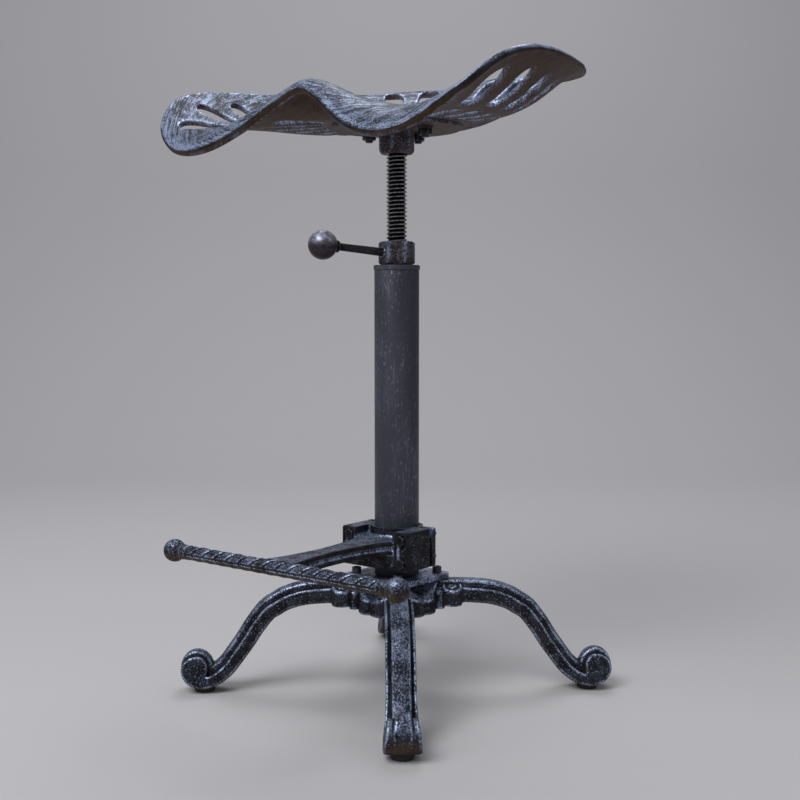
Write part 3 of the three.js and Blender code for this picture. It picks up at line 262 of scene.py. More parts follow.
def rubbed_iron(name, silver_and_skylight_on_top, silver_on_edges, silver_overall, strokes=None, bronze_and_shade=1.0,
                bronze_and_shade_from=0.1, crumbs=0.4):
    """Black casting with silver grains, thick on edges and tops and absent in grooves. The silver on tops is
    partly painted sky light, and the undersides get painted shade in dark brown.
    """
    material, tree, shader = new_finish(name, IRON_BLACK, 0.1, 0.5)
    place = object_place(tree)
    wear = attribute(tree, "wear")
    up = facing_up(tree)

    fine = grain(tree, place, FINE_GRAIN, 3)
    patches = grain(tree, place, PATCH_GRAIN, 4)
    marks = grain(tree, attribute(tree, "stroke", "Vector"), strokes, 5, roughness=0.65) if strokes else fine
    marks = plus(tree, times(tree, fine, 0.45), times(tree, marks, 0.55))
    patchy = times(tree, maths(tree, "SUBTRACT", patches, 0.5), 0.3 if strokes else 0.55)
    marks = plus(tree, marks, patchy)

    # faces that look up get more silver: partly rubbed silver, partly painted sky light
    top = times(tree, spread(tree, up, 0.0, 0.85), silver_and_skylight_on_top)
    edge = times(tree, spread(tree, wear, 0.12, 0.45), silver_on_edges)
    # edges that look down get less silver: painted shade
    edge = times(tree, edge, spread(tree, up, -0.5, 0.15, 0.2, 1.0))
    groove = spread(tree, wear, -0.35, -0.03)
    laid = plus(tree, plus(tree, top, edge), silver_overall)
    broken = spread(tree, marks, 0.45, 0.61, 0.06, 1.0)
    # fewer silver grains on faces that look down: painted shade
    crumbs_here = spread(tree, up, -0.7, 0.2, 0.25 * crumbs, crumbs)
    loose = times(tree, crumbs_of(tree, place, CRUMB_GRAIN), crumbs_here)
    silver = plus(tree, times(tree, laid, broken), loose)
    silver = times(tree, silver, groove, clamp=True)

    # faces that look down turn dark brown: partly a bronze tone, partly painted shade and painted warm light
    # from the floor
    below = times(tree, spread(tree, up, bronze_and_shade_from, -0.5), bronze_and_shade, clamp=True)
    brown = times(tree, below, spread(tree, marks, 0.3, 0.55, 0.35, 1.0))
    body = mixed(tree, spread(tree, patches, 0.4, 0.65), IRON_BLACK, IRON_GREY)
    body = mixed(tree, brown, body, BRONZE_AND_UNDERSIDE_SHADE)
    tree.links.new(mixed(tree, silver, body, SILVER_AND_SKYLIGHT), shader.inputs["Base Color"])
    tree.links.new(spread(tree, silver, 0, 1, 0.0, 0.75), shader.inputs["Metallic"])
    tree.links.new(spread(tree, silver, 0, 1, 0.52, 0.38), shader.inputs["Roughness"])
    roughen(tree, shader, plus(tree, fine, times(tree, patches, 0.5)), SKIN_DEPTH, 0.6)
    return material


LEG_IRON = rubbed_iron("leg_iron", 0.5, 1.4, 0.02, crumbs=0.42)
SEAT_IRON = rubbed_iron("seat_iron", 0.70, 1.7, 0.02, strokes=1.0, crumbs=0.12)
CLAMP_IRON = rubbed_iron("clamp_iron", 0.42, 1.6, 0.02, bronze_and_shade=0.5, crumbs=0.4)
BAR_IRON = rubbed_iron("bar_iron", 0.4, 1.6, 0.03, bronze_and_shade=0.8, crumbs=0.2)
# balls: painted sky light and highlight on the upper half, painted shade in dark brown on the lower half
BALL_IRON = rubbed_iron("ball_iron", 0.75, 0.3, 0.05, bronze_and_shade_from=0.35, crumbs=0.2)
BOSS_IRON = rubbed_iron("boss_iron", 0.15, 0.8, 0.01, bronze_and_shade_from=0.9, crumbs=0.3)

# %% Brushed column, oiled screw, black bolts, worn knob and rubber
STREAK_GRAIN = 520
STREAK_PATCH = 26
COLUMN_CRUMBS = 480
STREAK_GREY = (0.17, 0.178, 0.235)


def streaked_steel():
    """The tube was brushed up and down: pale streaks and crumbs on black, thick in places."""
    material, tree, shader = new_finish("column_finish", IRON_BLACK, 0.1, 0.42)
    place = object_place(tree)
    streaks = grain(tree, place, STREAK_GRAIN, 4, stretch=(1, 1, 0.06))
    patches = grain(tree, place, STREAK_PATCH, 3, stretch=(1, 1, 0.4))
    thick = spread(tree, patches, 0.4, 0.62)
    patchy = times(tree, maths(tree, "SUBTRACT", patches, 0.5), 0.55)
    marks = plus(tree, times(tree, streaks, 0.8), patchy)
    crumbs_here = spread(tree, patches, 0.38, 0.6, 0.12, 0.75)
    loose = times(tree, crumbs_of(tree, place, COLUMN_CRUMBS, (1, 1, 0.45)), crumbs_here)
    worn = times(tree, spread(tree, attribute(tree, "wear"), 0.05, 0.4), 0.4)
    pale = plus(tree, spread(tree, marks, 0.43, 0.60, 0.0, 0.26), loose)
    pale = plus(tree, pale, worn, clamp=True)
    body = mixed(tree, thick, IRON_BLACK, IRON_GREY)
    tree.links.new(mixed(tree, pale, body, STREAK_GREY), shader.inputs["Base Color"])
    tree.links.new(spread(tree, pale, 0, 1, 0.0, 0.75), shader.inputs["Metallic"])
    roughen(tree, shader, plus(tree, marks, times(tree, loose, 0.4)), 0.35, 0.6)
    return material


def plain_steel(name, color, metallic, roughness, worn_and_highlight_color, worn_share, grain_scale=500,
                top_highlight_share=0.0):
    """Steel of one colour with a finely broken worn tone on its edges and, if asked, a painted highlight on
    its top.
    """
    material, tree, shader = new_finish(name, color, metallic, roughness)
    specks = grain(tree, object_place(tree), grain_scale, 4)
    edge = times(tree, spread(tree, attribute(tree, "wear"), 0.05, 0.6), worn_share)
    # painted highlight on faces that look up, in the worn colour
    top = times(tree, spread(tree, facing_up(tree), -0.2, 0.9), top_highlight_share)
    specked = spread(tree, specks, 0.35, 0.65, 0.35, 1.0)
    share = times(tree, plus(tree, edge, top), specked, clamp=True)
    tree.links.new(mixed(tree, share, color, worn_and_highlight_color), shader.inputs["Base Color"])
    roughen(tree, shader, specks, 0.08, 0.5)
    return material


COLUMN_FINISH = streaked_steel()
OILED_STEEL = plain_steel("screw_finish", (0.018, 0.017, 0.018), 0.7, 0.28, (0.50, 0.50, 0.53), 0.9)
BOLT_BLACK = plain_steel("bolt_finish", (0.010, 0.010, 0.012), 0.4, 0.40, (0.16, 0.17, 0.21), 0.6)
# the knob's pale blue top is a painted highlight; its edges are worn
KNOB_FINISH = plain_steel("knob_finish", (0.026, 0.020, 0.018), 0.5, 0.38, (0.58, 0.64, 0.80), 0.6,
                          grain_scale=260, top_highlight_share=1.0)
# a faint painted highlight on the lever's top
LEVER_FINISH = plain_steel("lever_finish", (0.010, 0.009, 0.009), 0.4, 0.42, (0.12, 0.12, 0.15), 0.4,
                           grain_scale=260, top_highlight_share=0.12)
RUBBER_BLACK = plain_steel("pad_rubber", (0.014, 0.014, 0.014), 0.0, 0.75, (0.04, 0.04, 0.04), 0.4)
print("finishes:", [material.name for material in bpy.data.materials if material.users])

# %% [markdown]
# ## Shaping helpers
# Turned pieces come from a half outline that `bmesh.ops.spin` carries round the axis. Long or curved
# castings start as a flat grid from `bmesh.ops.create_grid`, and each of its points is then placed by a
# short formula, which keeps the faces square and easy to smooth. Every finished mesh goes through
# `finish_piece`, which merges doubled points, turns the faces outwards, measures the wear, brings the
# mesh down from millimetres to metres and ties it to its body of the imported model.

# %% Turned shapes and wrapped grids
def lathe(profile, steps=64, closed=False):
    """Turns a half outline of (radius, height) pairs about the Z axis."""
    bm = bmesh.new()
    points = [bm.verts.new((radius, 0, height)) for radius, height in profile]
    pairs = list(zip(points, points[1:])) + ([(points[-1], points[0])] if closed else [])
    edges = [bm.edges.new(pair) for pair in pairs]
    bmesh.ops.spin(bm, geom=points + edges, cent=(0, 0, 0), axis=UP, angle=2 * math.pi, steps=steps,
                   use_merge=True)
    bmesh.ops.remove_doubles(bm, verts=bm.verts, dist=0.001)
    return bm


def sleeve(inner, outer, low, high, steps):
    """A plain ring with square corners."""
    return lathe([(inner, low), (outer, low), (outer, high), (inner, high)], steps, closed=True)


def half_circle(radius, steps):
    """Half outline of a ball, from its bottom to its top."""
    angles = [k * math.pi / steps for k in range(steps + 1)]
    return [(radius * math.sin(angle), -radius * math.cos(angle)) for angle in angles]


def wrap_grid(columns, rows, place):
    """A grid of so many faces each way, whose point (column, row) goes to place(column, row)."""
    bm = bmesh.new()
    bmesh.ops.create_grid(bm, x_segments=columns, y_segments=rows, size=1)
    for vert in bm.verts:
        column = round((vert.co.x + 1) / 2 * columns)
        row = round((vert.co.y + 1) / 2 * rows)
        vert.co = place(column, row)
    bmesh.ops.remove_doubles(bm, verts=bm.verts, dist=0.001)
    return bm


def close_ends(bm):
    """Puts a face over every open end."""
    open_edges = [edge for edge in bm.edges if edge.is_boundary]
    bmesh.ops.holes_fill(bm, edges=open_edges, sides=0)
    return bm


def round_edges(bm, edges, width, segments=2):
    bmesh.ops.bevel(bm, geom=edges, offset=width, offset_type="OFFSET", affect="EDGES", segments=segments,
                    profile=0.5, material=-1, clamp_overlap=True)
    return bm


def soften(bm, width, sharper_than=30, segments=2):
    """Rounds every edge where two faces meet at more than this many degrees."""
    bmesh.ops.recalc_face_normals(bm, faces=bm.faces)
    limit = math.radians(sharper_than)
    edges = [edge for edge in bm.edges if len(edge.link_faces) == 2 and edge.calc_face_angle(0) > limit]
    return round_edges(bm, edges, width, segments)


# %% Moving, cutting and joining shapes
def aim(bm, start, direction):
    """Moves a shape made about Z so that its Z runs along a direction from a start point."""
    turn = Vector(direction).to_track_quat("Z", "Y").to_matrix().to_4x4()
    bmesh.ops.transform(bm, matrix=Matrix.Translation(start) @ turn, verts=bm.verts)
    return bm


def turn_about_z(bm, angle):
    bmesh.ops.rotate(bm, verts=bm.verts, cent=(0, 0, 0), matrix=Matrix.Rotation(angle, 3, "Z"))
    return bm


def set_round(bm, out, angle):
    """Moves a shape out from the axis, then turns it to its place round the axis."""
    bmesh.ops.translate(bm, verts=bm.verts, vec=(out, 0, 0))
    return turn_about_z(bm, angle)


def keep_one_side(bm, point, outward):
    """Cuts with a plane, drops what lies past it and closes the cut."""
    geom = bm.verts[:] + bm.edges[:] + bm.faces[:]
    bmesh.ops.bisect_plane(bm, geom=geom, dist=0.001, plane_co=point, plane_no=outward, clear_outer=True)
    return close_ends(bm)


def new_points(made):
    """The points among what an extrusion made."""
    return [item for item in made["geom"] if isinstance(item, bmesh.types.BMVert)]


def joined(shapes):
    """One bmesh that holds all of these."""
    whole = bmesh.new()
    for shape in shapes:
        mesh = new_mesh("part_shape", shape)
        whole.from_mesh(mesh)
        bpy.data.meshes.remove(mesh)
    return whole


# %% Measuring the wear
WEAR_RADIUS = 2.2  # millimetres: a ridge this tight has a wear of 1


def measure_wear(bm, passes=2):
    """Keeps the bend of the surface at every point: above zero on a ridge, below zero in a groove."""
    layer = bm.verts.layers.float.get("wear") or bm.verts.layers.float.new("wear")
    bm.normal_update()
    bend = {}
    for vert in bm.verts:
        total = weight = 0.0
        for edge in vert.link_edges:
            if len(edge.link_faces) != 2:
                continue
            first, second = edge.link_faces
            across = (first.calc_center_median() - second.calc_center_median()).length
            if across > 0:
                total += edge.calc_face_angle_signed(0) / across * edge.calc_length()
                weight += edge.calc_length()
        bend[vert] = max(-1.0, min(1.0, total / weight * WEAR_RADIUS)) if weight else 0.0
    for _ in range(passes):
        bend = {
            vert: 0.5 * value + 0.5 * sum(bend[edge.other_vert(vert)] for edge in vert.link_edges)
            / max(len(vert.link_edges), 1)
            for vert, value in bend.items()
        }
    for vert, value in bend.items():
        vert[layer] = value


# %% Finishing a piece
def finish_piece(bm, name, body, nodes, finish, levels=0, sharp=40, wear_passes=2, measured=False):
    """Makes the object in metres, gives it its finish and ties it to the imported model."""
    bmesh.ops.remove_doubles(bm, verts=bm.verts, dist=0.001)
    bmesh.ops.recalc_face_normals(bm, faces=bm.faces)
    if not measured:
        measure_wear(bm, wear_passes)
    for face in bm.faces:
        face.smooth = True
    for edge in bm.edges:
        edge.smooth = not edge.link_faces or edge.calc_face_angle(0) < math.radians(sharp)
    bmesh.ops.scale(bm, vec=(MM, MM, MM), verts=bm.verts)
    mesh = new_mesh(name, bm)
    mesh.materials.append(finish)
    piece = new_object(name, mesh)
    if levels:
        rounding = piece.modifiers.new("rounding", "SUBSURF")
        rounding.levels = rounding.render_levels = levels
    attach(piece, body)
    if nodes:
        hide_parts(*nodes)
    print(name, "faces:", len(mesh.polygons), "stands for:", nodes)
    return piece


# %% [markdown]
# ## Seat pan
# The pan is one casting: a level middle, a bowl that rises to the back, two lobes that hang in front
# under the thighs, a peak between them, and a rim that rolls over. Two rings of slots with round ends
# radiate from the middle. The grid has one column per side of every slot, so that deleting the cells of a
# slot leaves a clean hole. The skin is then doubled downwards, and a bevel rounds all its edges.

# %% Rim and bowl, read at every angle from the front
PAN_LOW, PAN_HIGH = box_mm("seat_pan")
FLAT_TOP = box_mm("seat_bolt_1")[1].z - 3.6 - 0.3  # under the bolt heads
PAN_THICK = 6.0
RIM_THICK = 8.0
FLAT_REACH = 70.0
RIM_STEP = 10
RIM_SPAN = 242.0
PAN_RISE = 78.0
RIM_ROLL = 6.0
RIM_REACH_SHARES = [
    0.641, 0.675, 0.76, 0.873, 0.975, 1.035, 1.019, 0.96, 0.904,
    0.856, 0.823, 0.812, 0.817, 0.833, 0.877, 0.921, 0.918, 0.891, 0.871,
]
RIM_RISE_SHARES = [
    0.218, 0.049, -0.245, -0.467, -0.43, -0.073, 0.331, 0.51, 0.57,
    0.6, 0.631, 0.652, 0.688, 0.741, 0.794, 0.841, 0.852, 0.911, 0.943,
]
BOWL_RISE_SHARES = [
    0.216, 0.183, 0.097, -0.004, -0.08, -0.06, -0.02, 0.012, 0.028,
    0.042, 0.068, 0.116, 0.205, 0.285, 0.345, 0.37, 0.37, 0.37, 0.375,
]
ROLL_START = 0.82
PAN_MIDDLE = FLAT_TOP - PAN_THICK / 2


def from_front(degrees):
    return abs((degrees + 180) % 360 - 180)


def around(shares, degrees):
    """A smooth curve through the shares, which stand every 10 degrees from the front to the back."""
    last = len(shares) - 1
    place = from_front(degrees) / RIM_STEP
    at = min(int(place), last - 1)
    near = [shares[last - abs(last - abs(at + step))] for step in (-1, 0, 1, 2)]
    return curve(*near, place - at)


def rim_at(degrees):
    return RIM_SPAN * around(RIM_REACH_SHARES, degrees) - RIM_THICK / 2


def pan_point(degrees, reach):
    """A point of the pan's middle surface."""
    rim = rim_at(degrees)
    rise = PAN_RISE * around(RIM_RISE_SHARES, degrees) + RIM_ROLL
    middle = PAN_RISE * around(BOWL_RISE_SHARES, degrees)
    square, cube = 8 * middle - rise, 2 * rise - 8 * middle
    t = min(max((reach - FLAT_REACH) / (rim - FLAT_REACH), 0), 1)
    over = max(0, (t - ROLL_START) / (1 - ROLL_START))
    angle = math.radians(degrees)
    height = PAN_MIDDLE + square * t ** 2 + cube * t ** 3 - RIM_ROLL * over ** 2
    return Vector((reach * math.sin(angle), -reach * math.cos(angle), height))


def skin_point(degrees, reach, lift):
    """A point above or below the middle surface, by a share of the wall's thickness there."""
    if reach < 1:
        return pan_point(degrees, reach) + UP * lift * PAN_THICK
    rim = rim_at(degrees)
    inside = min(reach, rim)
    here = pan_point(degrees, inside)
    outward = (here - pan_point(degrees, inside - 0.5)).normalized()
    ratio = inside / rim
    aside = (pan_point(degrees + 0.5, ratio * rim_at(degrees + 0.5))
             - pan_point(degrees - 0.5, ratio * rim_at(degrees - 0.5)))
    thick = blend(PAN_THICK, RIM_THICK, smooth_step(ROLL_START, 1, ratio))
    return here + outward.cross(aside).normalized() * lift * thick + outward * (reach - inside)


print("rim to rim:", round(PAN_HIGH.x - PAN_LOW.x), "by", round(PAN_HIGH.y - PAN_LOW.y), "mm")

# %% Columns and rows of the pan's grid
SLOT_PITCH = 13.04  # degrees, counted from the back on both sides
INNER_SLOTS = 12
OUTER_SLOTS = 11
SLOT_HALF = SLOT_PITCH * 0.56 / 2
INNER_START = FLAT_REACH + 7
INNER_END_SHARE = 0.41  # of the way from the flat to the rim
OUTER_START_SHARE = 0.5
OUTER_MARGIN = 16.0
FRONT_COLUMNS = 20
BED_ROWS = (0, 24, 46, 60, 70)
SLOT_ROWS = 5  # rows along the straight sides of a slot
RIM_ROWS = (-7, -1.5, RIM_THICK / 2)  # millimetres past the rim
CORNER_IN, MIDDLE_IN = 0.29, 0.03  # of a slot's end radius, from the end of the grid's cell


def slot_rows(start, end):
    """The two ends of a slot, and rows between the places where its round ends begin."""
    round_share = math.radians(SLOT_HALF)
    first, last = start * (1 + round_share), end * (1 - round_share)
    return [start, *[blend(first, last, k / (SLOT_ROWS - 1)) for k in range(SLOT_ROWS)], end]


def pan_columns():
    """Degrees of every column, with the slot that it borders and its share of that slot's half width."""
    columns = []
    for number in range(1 - INNER_SLOTS, INNER_SLOTS):
        centre = 180 + number * SLOT_PITCH
        columns += [(centre + share * SLOT_HALF, number, share) for share in (-1, -1 / 3, 1 / 3, 1)]
        if number < INNER_SLOTS - 1:
            columns += [(centre + share * SLOT_PITCH, None, None) for share in (0.4, 0.6)]
    front = 360 - 2 * (INNER_SLOTS - 1) * SLOT_PITCH - 2 * SLOT_HALF
    columns += [(columns[-1][0] + front * k / FRONT_COLUMNS, None, None) for k in range(1, FRONT_COLUMNS)]
    return columns


def row_reaches(degrees, number=None):
    """Distances of all rows from the axis at one angle; those of a slot are the same all across it."""
    rim = rim_at(degrees)
    slot_rim = rim if number is None else rim_at(180 + number * SLOT_PITCH)
    inner_end = blend(FLAT_REACH, slot_rim, INNER_END_SHARE)
    outer_start = blend(FLAT_REACH, slot_rim, OUTER_START_SHARE)
    inner = slot_rows(INNER_START, inner_end)
    outer = slot_rows(outer_start, slot_rim - OUTER_MARGIN)
    return [*BED_ROWS, *inner, (inner_end + outer_start) / 2, *outer, *[rim + step for step in RIM_ROWS]]


COLUMNS = pan_columns()
FIRST_INNER = len(BED_ROWS)
LAST_INNER = FIRST_INNER + SLOT_ROWS + 1
FIRST_OUTER = LAST_INNER + 2
LAST_OUTER = FIRST_OUTER + SLOT_ROWS + 1
print("pan grid:", len(COLUMNS), "columns,", len(row_reaches(0)), "rows")

# %% The pan with its slots
def slot_of_row(number, row):
    """First and last row of the slot that passes this row, if there is one."""
    if FIRST_INNER <= row <= LAST_INNER:
        return FIRST_INNER, LAST_INNER
    if FIRST_OUTER <= row <= LAST_OUTER and abs(number) < OUTER_SLOTS:
        return FIRST_OUTER, LAST_OUTER
    return None


def rounded_place(column, row):
    """Angle and reach of a grid point, moved in at the ends of a slot so that they are round."""
    degrees, number, share = COLUMNS[column % len(COLUMNS)]
    reach = row_reaches(degrees, number)[row]
    span = slot_of_row(number, row) if number is not None else None
    if span and row in span:
        radius = math.radians(SLOT_HALF) * reach
        inward = 1 if row == span[0] else -1
        at_corner = abs(share) > 0.5
        reach += inward * radius * (CORNER_IN if at_corner else MIDDLE_IN)
        degrees -= math.copysign(SLOT_HALF * CORNER_IN, share) if at_corner else 0
    return degrees, reach


def in_slot(face):
    centre = face.calc_center_median()
    column, row = int(centre.x), int(centre.y)
    number = COLUMNS[column % len(COLUMNS)][1]
    if number is None or number != COLUMNS[(column + 1) % len(COLUMNS)][1]:
        return False
    span = slot_of_row(number, row)
    return bool(span) and span[0] <= row < span[1]


def shape_pan():
    """Upper skin with its slots first, then a copy of it lower down, joined by the walls."""
    bm = wrap_grid(len(COLUMNS), len(row_reaches(0)) - 1, lambda column, row: Vector((column, row, 0)))
    degrees_layer = bm.verts.layers.float.new("degrees")
    reach_layer = bm.verts.layers.float.new("reach")
    bmesh.ops.delete(bm, geom=[face for face in bm.faces if in_slot(face)], context="FACES")
    for vert in bm.verts:
        vert[degrees_layer], vert[reach_layer] = rounded_place(round(vert.co.x), round(vert.co.y))
        vert.co = skin_point(vert[degrees_layer], vert[reach_layer], 0.5)
    bmesh.ops.remove_doubles(bm, verts=bm.verts, dist=0.01)
    doubled = bmesh.ops.extrude_face_region(bm, geom=bm.faces[:], use_keep_orig=True)
    for vert in new_points(doubled):
        vert.co = skin_point(vert[degrees_layer], vert[reach_layer], -0.5)
    bmesh.ops.recalc_face_normals(bm, faces=bm.faces)
    return bm


pan = shape_pan()
print("open edges:", sum(edge.is_boundary for edge in pan.edges),
      "crowded edges:", sum(len(edge.link_faces) > 2 for edge in pan.edges))

# %% [markdown]
# The rim is rounded more than the slots. Each point also keeps a `stroke`: its place on a ring round the
# seat and its reach, with the ring drawn small and the reach drawn large. Noise read there comes out as
# brush strokes that run round the seat, along the rim.

# %% Rounded edges and brush strokes
SLOT_ROUND = 1.5
RIM_ROUND = 2.4
STROKE_RING = 5.0
STROKE_WIDTH = 1.7


def round_pan_edges(bm):
    reach_layer = bm.verts.layers.float["reach"]
    degrees_layer = bm.verts.layers.float["degrees"]
    corners = [edge for edge in bm.edges if len(edge.link_faces) == 2 and edge.calc_face_angle(0) > 0.9]

    def on_rim(edge):
        return all(vert[reach_layer] > rim_at(vert[degrees_layer]) + 2 for vert in edge.verts)

    rim = [edge for edge in corners if on_rim(edge)]
    slots = [edge for edge in corners if not on_rim(edge)]
    print("rim edges:", len(rim), "slot edges:", len(slots))
    round_edges(bm, rim, RIM_ROUND)
    round_edges(bm, slots, SLOT_ROUND)


def polar(vert):
    """Degrees from the front, and the distance from the axis."""
    return math.degrees(math.atan2(vert.co.x, -vert.co.y)), math.hypot(vert.co.x, vert.co.y)


def keep_strokes(bm):
    layer = bm.verts.layers.float_vector.new("stroke")
    for vert in bm.verts:
        degrees, reach = polar(vert)
        over = vert.co.z - pan_point(degrees, min(reach, rim_at(degrees))).z
        around_ring = Vector((vert.co.x, vert.co.y, 0)) * (STROKE_RING / max(reach, 1))
        vert[layer] = around_ring + UP * ((reach - over) / STROKE_WIDTH)


# %% Where the pan is rubbed bright, and where light and shade are painted on it
RIM_MARGIN = 9  # no slot comes nearer to the rim
# slot walls and the rim's top line: partly worn silver, partly painted light; the rim's outer face: painted
# shade
SLOT_WALL_WEAR_AND_LIGHT = 0.8
RIM_LINE_WEAR_AND_HIGHLIGHT = 0.5
RIM_FACE_SHADE = -0.4


def rub_pan_and_paint_light(bm):
    """The slots' walls and the top line of the rim are worn bright, with painted light on them; the rim's
    outer face is painted black as shade.
    """
    bm.normal_update()
    layer = bm.verts.layers.float["wear"]
    for vert in bm.verts:
        degrees, reach = polar(vert)
        if FLAT_REACH < reach < rim_at(degrees) - RIM_MARGIN:
            over = vert.co.z - pan_point(degrees, reach).z
            vert[layer] = max(vert[layer], SLOT_WALL_WEAR_AND_LIGHT * (1 - smooth_step(1.6, 2.6, abs(over))))
        # rim: a painted highlight on its top line, painted shade on its outer face
        elif reach > rim_at(degrees) - 1 and vert.normal.z > -0.6:
            vert[layer] = blend(RIM_FACE_SHADE, RIM_LINE_WEAR_AND_HIGHLIGHT, smooth_step(0.35, 0.5, vert.normal.z))


round_pan_edges(pan)
keep_strokes(pan)
measure_wear(pan, 1)
rub_pan_and_paint_light(pan)
finish_piece(pan, "slotted_seat_pan", "seat", ["seat_pan"], SEAT_IRON, levels=1, measured=True)

# %% [markdown]
# ## Legs
# Each leg is a casting with a raised band down its middle, a thin bead along both edges, a foot that rolls
# up into a scroll, and a root of round lobes. The shank and the scroll are two grids wrapped round their
# own lines, and the lobes are turned. A voxel remesh then melts them together and leaves the small round
# fillets of a real casting, with a crease where the scroll meets the shank.

# %% Line of a leg and its section
PLATE_LOW, SPIGOT_HIGH = heights("base_plate")
ROOT_TOP = PLATE_LOW - 0.3
LEG_REACH = 236.0
LEG_HEIGHT = 120.0
LEG_TURN = math.radians(-50.4)
LEG_TURNS = [LEG_TURN + number * math.pi / 2 for number in range(4)]
LEG_LINE_SHARES = [
    (0.06, 0.9225), (0.254, 0.9225), (0.339, 0.919), (0.435, 0.901), (0.513, 0.855),
    (0.559, 0.803), (0.603, 0.744), (0.659, 0.601), (0.694, 0.492), (0.731, 0.388),
    (0.78, 0.258), (0.809, 0.203), (0.842, 0.158), (0.886, 0.129), (0.925, 0.128),
]
SHANK_STATIONS = 90
BAND_HALF = 9.3
BAND_RAISE = 6.8
BAND_CROWN = 1.4


def curve_point(points, share):
    """A point of the smooth curve through these points."""
    place = share * (len(points) - 1)
    at = min(int(place), len(points) - 2)
    near = [points[min(max(at + step, 0), len(points) - 1)] for step in (-1, 0, 1, 2)]
    return curve(*near, place - at)


def shank_section(share):
    """Half outline of the shank, from the middle of its underside to the middle of its band."""
    side = blend(15, 19, smooth_step(0.6, 1, share))
    half = blend(24, 19.5, share) / 2
    bead = half - BAND_RAISE
    return [
        (0, -half), (side - 3, -half), (side - 1, -half + 0.8), (side, -half + 2.5),
        (side, bead - 1.6), (side - 0.5, bead - 0.3), (side - 1.5, bead), (side - 2.6, bead - 0.5),
        (side - 3.3, bead - 1.8), (BAND_HALF + 1.3, bead - 2.0), (BAND_HALF + 0.5, bead - 0.8),
        (BAND_HALF + 0.1, half - 2.0), (BAND_HALF - 0.3, half - 0.9), (BAND_HALF - 1.2, half - 0.1),
        (BAND_HALF * 0.5, half + BAND_CROWN * 0.75), (0, half + BAND_CROWN),
    ]


def both_sides(half_outline):
    """A half outline and its mirror image, as one closed ring."""
    mirrored = [(-aside, up) for aside, up in reversed(half_outline[1:-1])]
    return half_outline + mirrored


LEG_LINE = [Vector((out * LEG_REACH, 0, up * LEG_HEIGHT)) for out, up in LEG_LINE_SHARES]


def foot_half(height):
    """Half width of the foot, whose two faces lean together towards the top of the scroll."""
    return blend(19.0, 14.0, (height - 6.5) / 40)


def shank_ring(row):
    share = row / SHANK_STATIONS
    here = curve_point(LEG_LINE, share)
    ahead = curve_point(LEG_LINE, min(share + 0.01, 1)) - curve_point(LEG_LINE, max(share - 0.01, 0))
    upward = Vector((-ahead.z, 0, ahead.x)).normalized()
    points = [here + upward * up + Vector((0, aside, 0)) for aside, up in both_sides(shank_section(share))]
    for point in points:
        limit = blend(20, foot_half(point.z) - 0.1, smooth_step(0.84, 0.95, share))
        point.y = min(max(point.y, -limit), limit)
    return points


def swept(rings):
    """A closed shape through rings with the same number of points."""
    count = len(rings[0])
    return close_ends(wrap_grid(count, len(rings) - 1, lambda column, row: rings[row][column % count]))


shank = swept([shank_ring(row) for row in range(SHANK_STATIONS + 1)])
print("shank faces:", len(shank.faces))

# %% Scroll of the foot
SCROLL_CENTRE = Vector((216, 0, 26.5))
SCROLL_RADIUS = 20.0
SCROLL_DRAW = 5.5  # how far the scroll is drawn in on the side of the shank
SCROLL_STATIONS = 96


def scroll_ring(row):
    """The foot's band climbs out of the edge as it rolls up, and the foot narrows."""
    degrees = blend(-90, 270, row / SCROLL_STATIONS)
    angle = math.radians(degrees)
    drawn = SCROLL_DRAW * smooth_step(45, 175, degrees) * (1 - smooth_step(200, 265, degrees))
    radius = SCROLL_RADIUS - drawn
    raised = blend(0.5, 4.6, smooth_step(-5, 75, degrees)) * (1 - smooth_step(215, 265, degrees))
    edge = radius - raised
    side = foot_half(SCROLL_CENTRE.z + edge * math.sin(angle))
    band = blend(BAND_HALF, 7.0, smooth_step(-10, 80, degrees) * (1 - smooth_step(120, 190, degrees)))
    half_outline = [
        (0, 0), (foot_half(SCROLL_CENTRE.z), 0), (side, edge - 2.0), (side - 0.4, edge - 0.7),
        (side - 1.5, edge), (side - 2.6, edge - 0.4), (band + 1.5, edge - 0.5 - raised * 0.1),
        (band + 0.6, edge - 0.2), (band + 0.1, radius - 1.1), (band - 1.0, radius), (0, radius + 0.6),
    ]
    outward = Vector((math.cos(angle), 0, math.sin(angle)))
    return [SCROLL_CENTRE + outward * reach + Vector((0, aside, 0))
            for aside, reach in both_sides(half_outline)]


scroll = swept([scroll_ring(row) for row in range(SCROLL_STATIONS + 1)])
print("scroll faces:", len(scroll.faces))

# %% Root lobes
ROOT_LOBES = {
    "big": {"out": 29, "aside": 17, "radius": 12.5, "drop": 18.2, "height": 15.5},
    "small": {"out": 46.5, "aside": 15.5, "radius": 5.5, "drop": 11.2, "height": 18},
    "outer": {"out": 60, "aside": 13.5, "radius": 11, "drop": 6.6, "height": 19.4},
}
DISC_LEAN = 0.34  # the top of the outer disc slopes down, away from the shank
DISC_RIM = 1.3
DISC_RIM_OUT = 9.3
ROOT_HALF = 8.0


def post(radius, bottom, top, out=0.0, aside=0.0, steps=40, dome=0.0):
    """A round post, with a dome on top if asked."""
    profile = [(0, bottom), (radius, bottom), (radius, top)]
    if dome:
        profile += [(radius * math.cos(k * math.pi / 8), top + dome * math.sin(k * math.pi / 8))
                    for k in (1, 2, 3)]
    bm = lathe([*profile, (0, top + dome)], steps)
    bmesh.ops.translate(bm, verts=bm.verts, vec=(out, aside, 0))
    return bm


def lobe_post(lobe, side, **changes):
    lobe = {**lobe, **changes}
    top = ROOT_TOP - lobe["drop"]
    return post(lobe["radius"], top - lobe["height"], top, lobe["out"], side * lobe["aside"],
                dome=lobe.get("dome", 0))


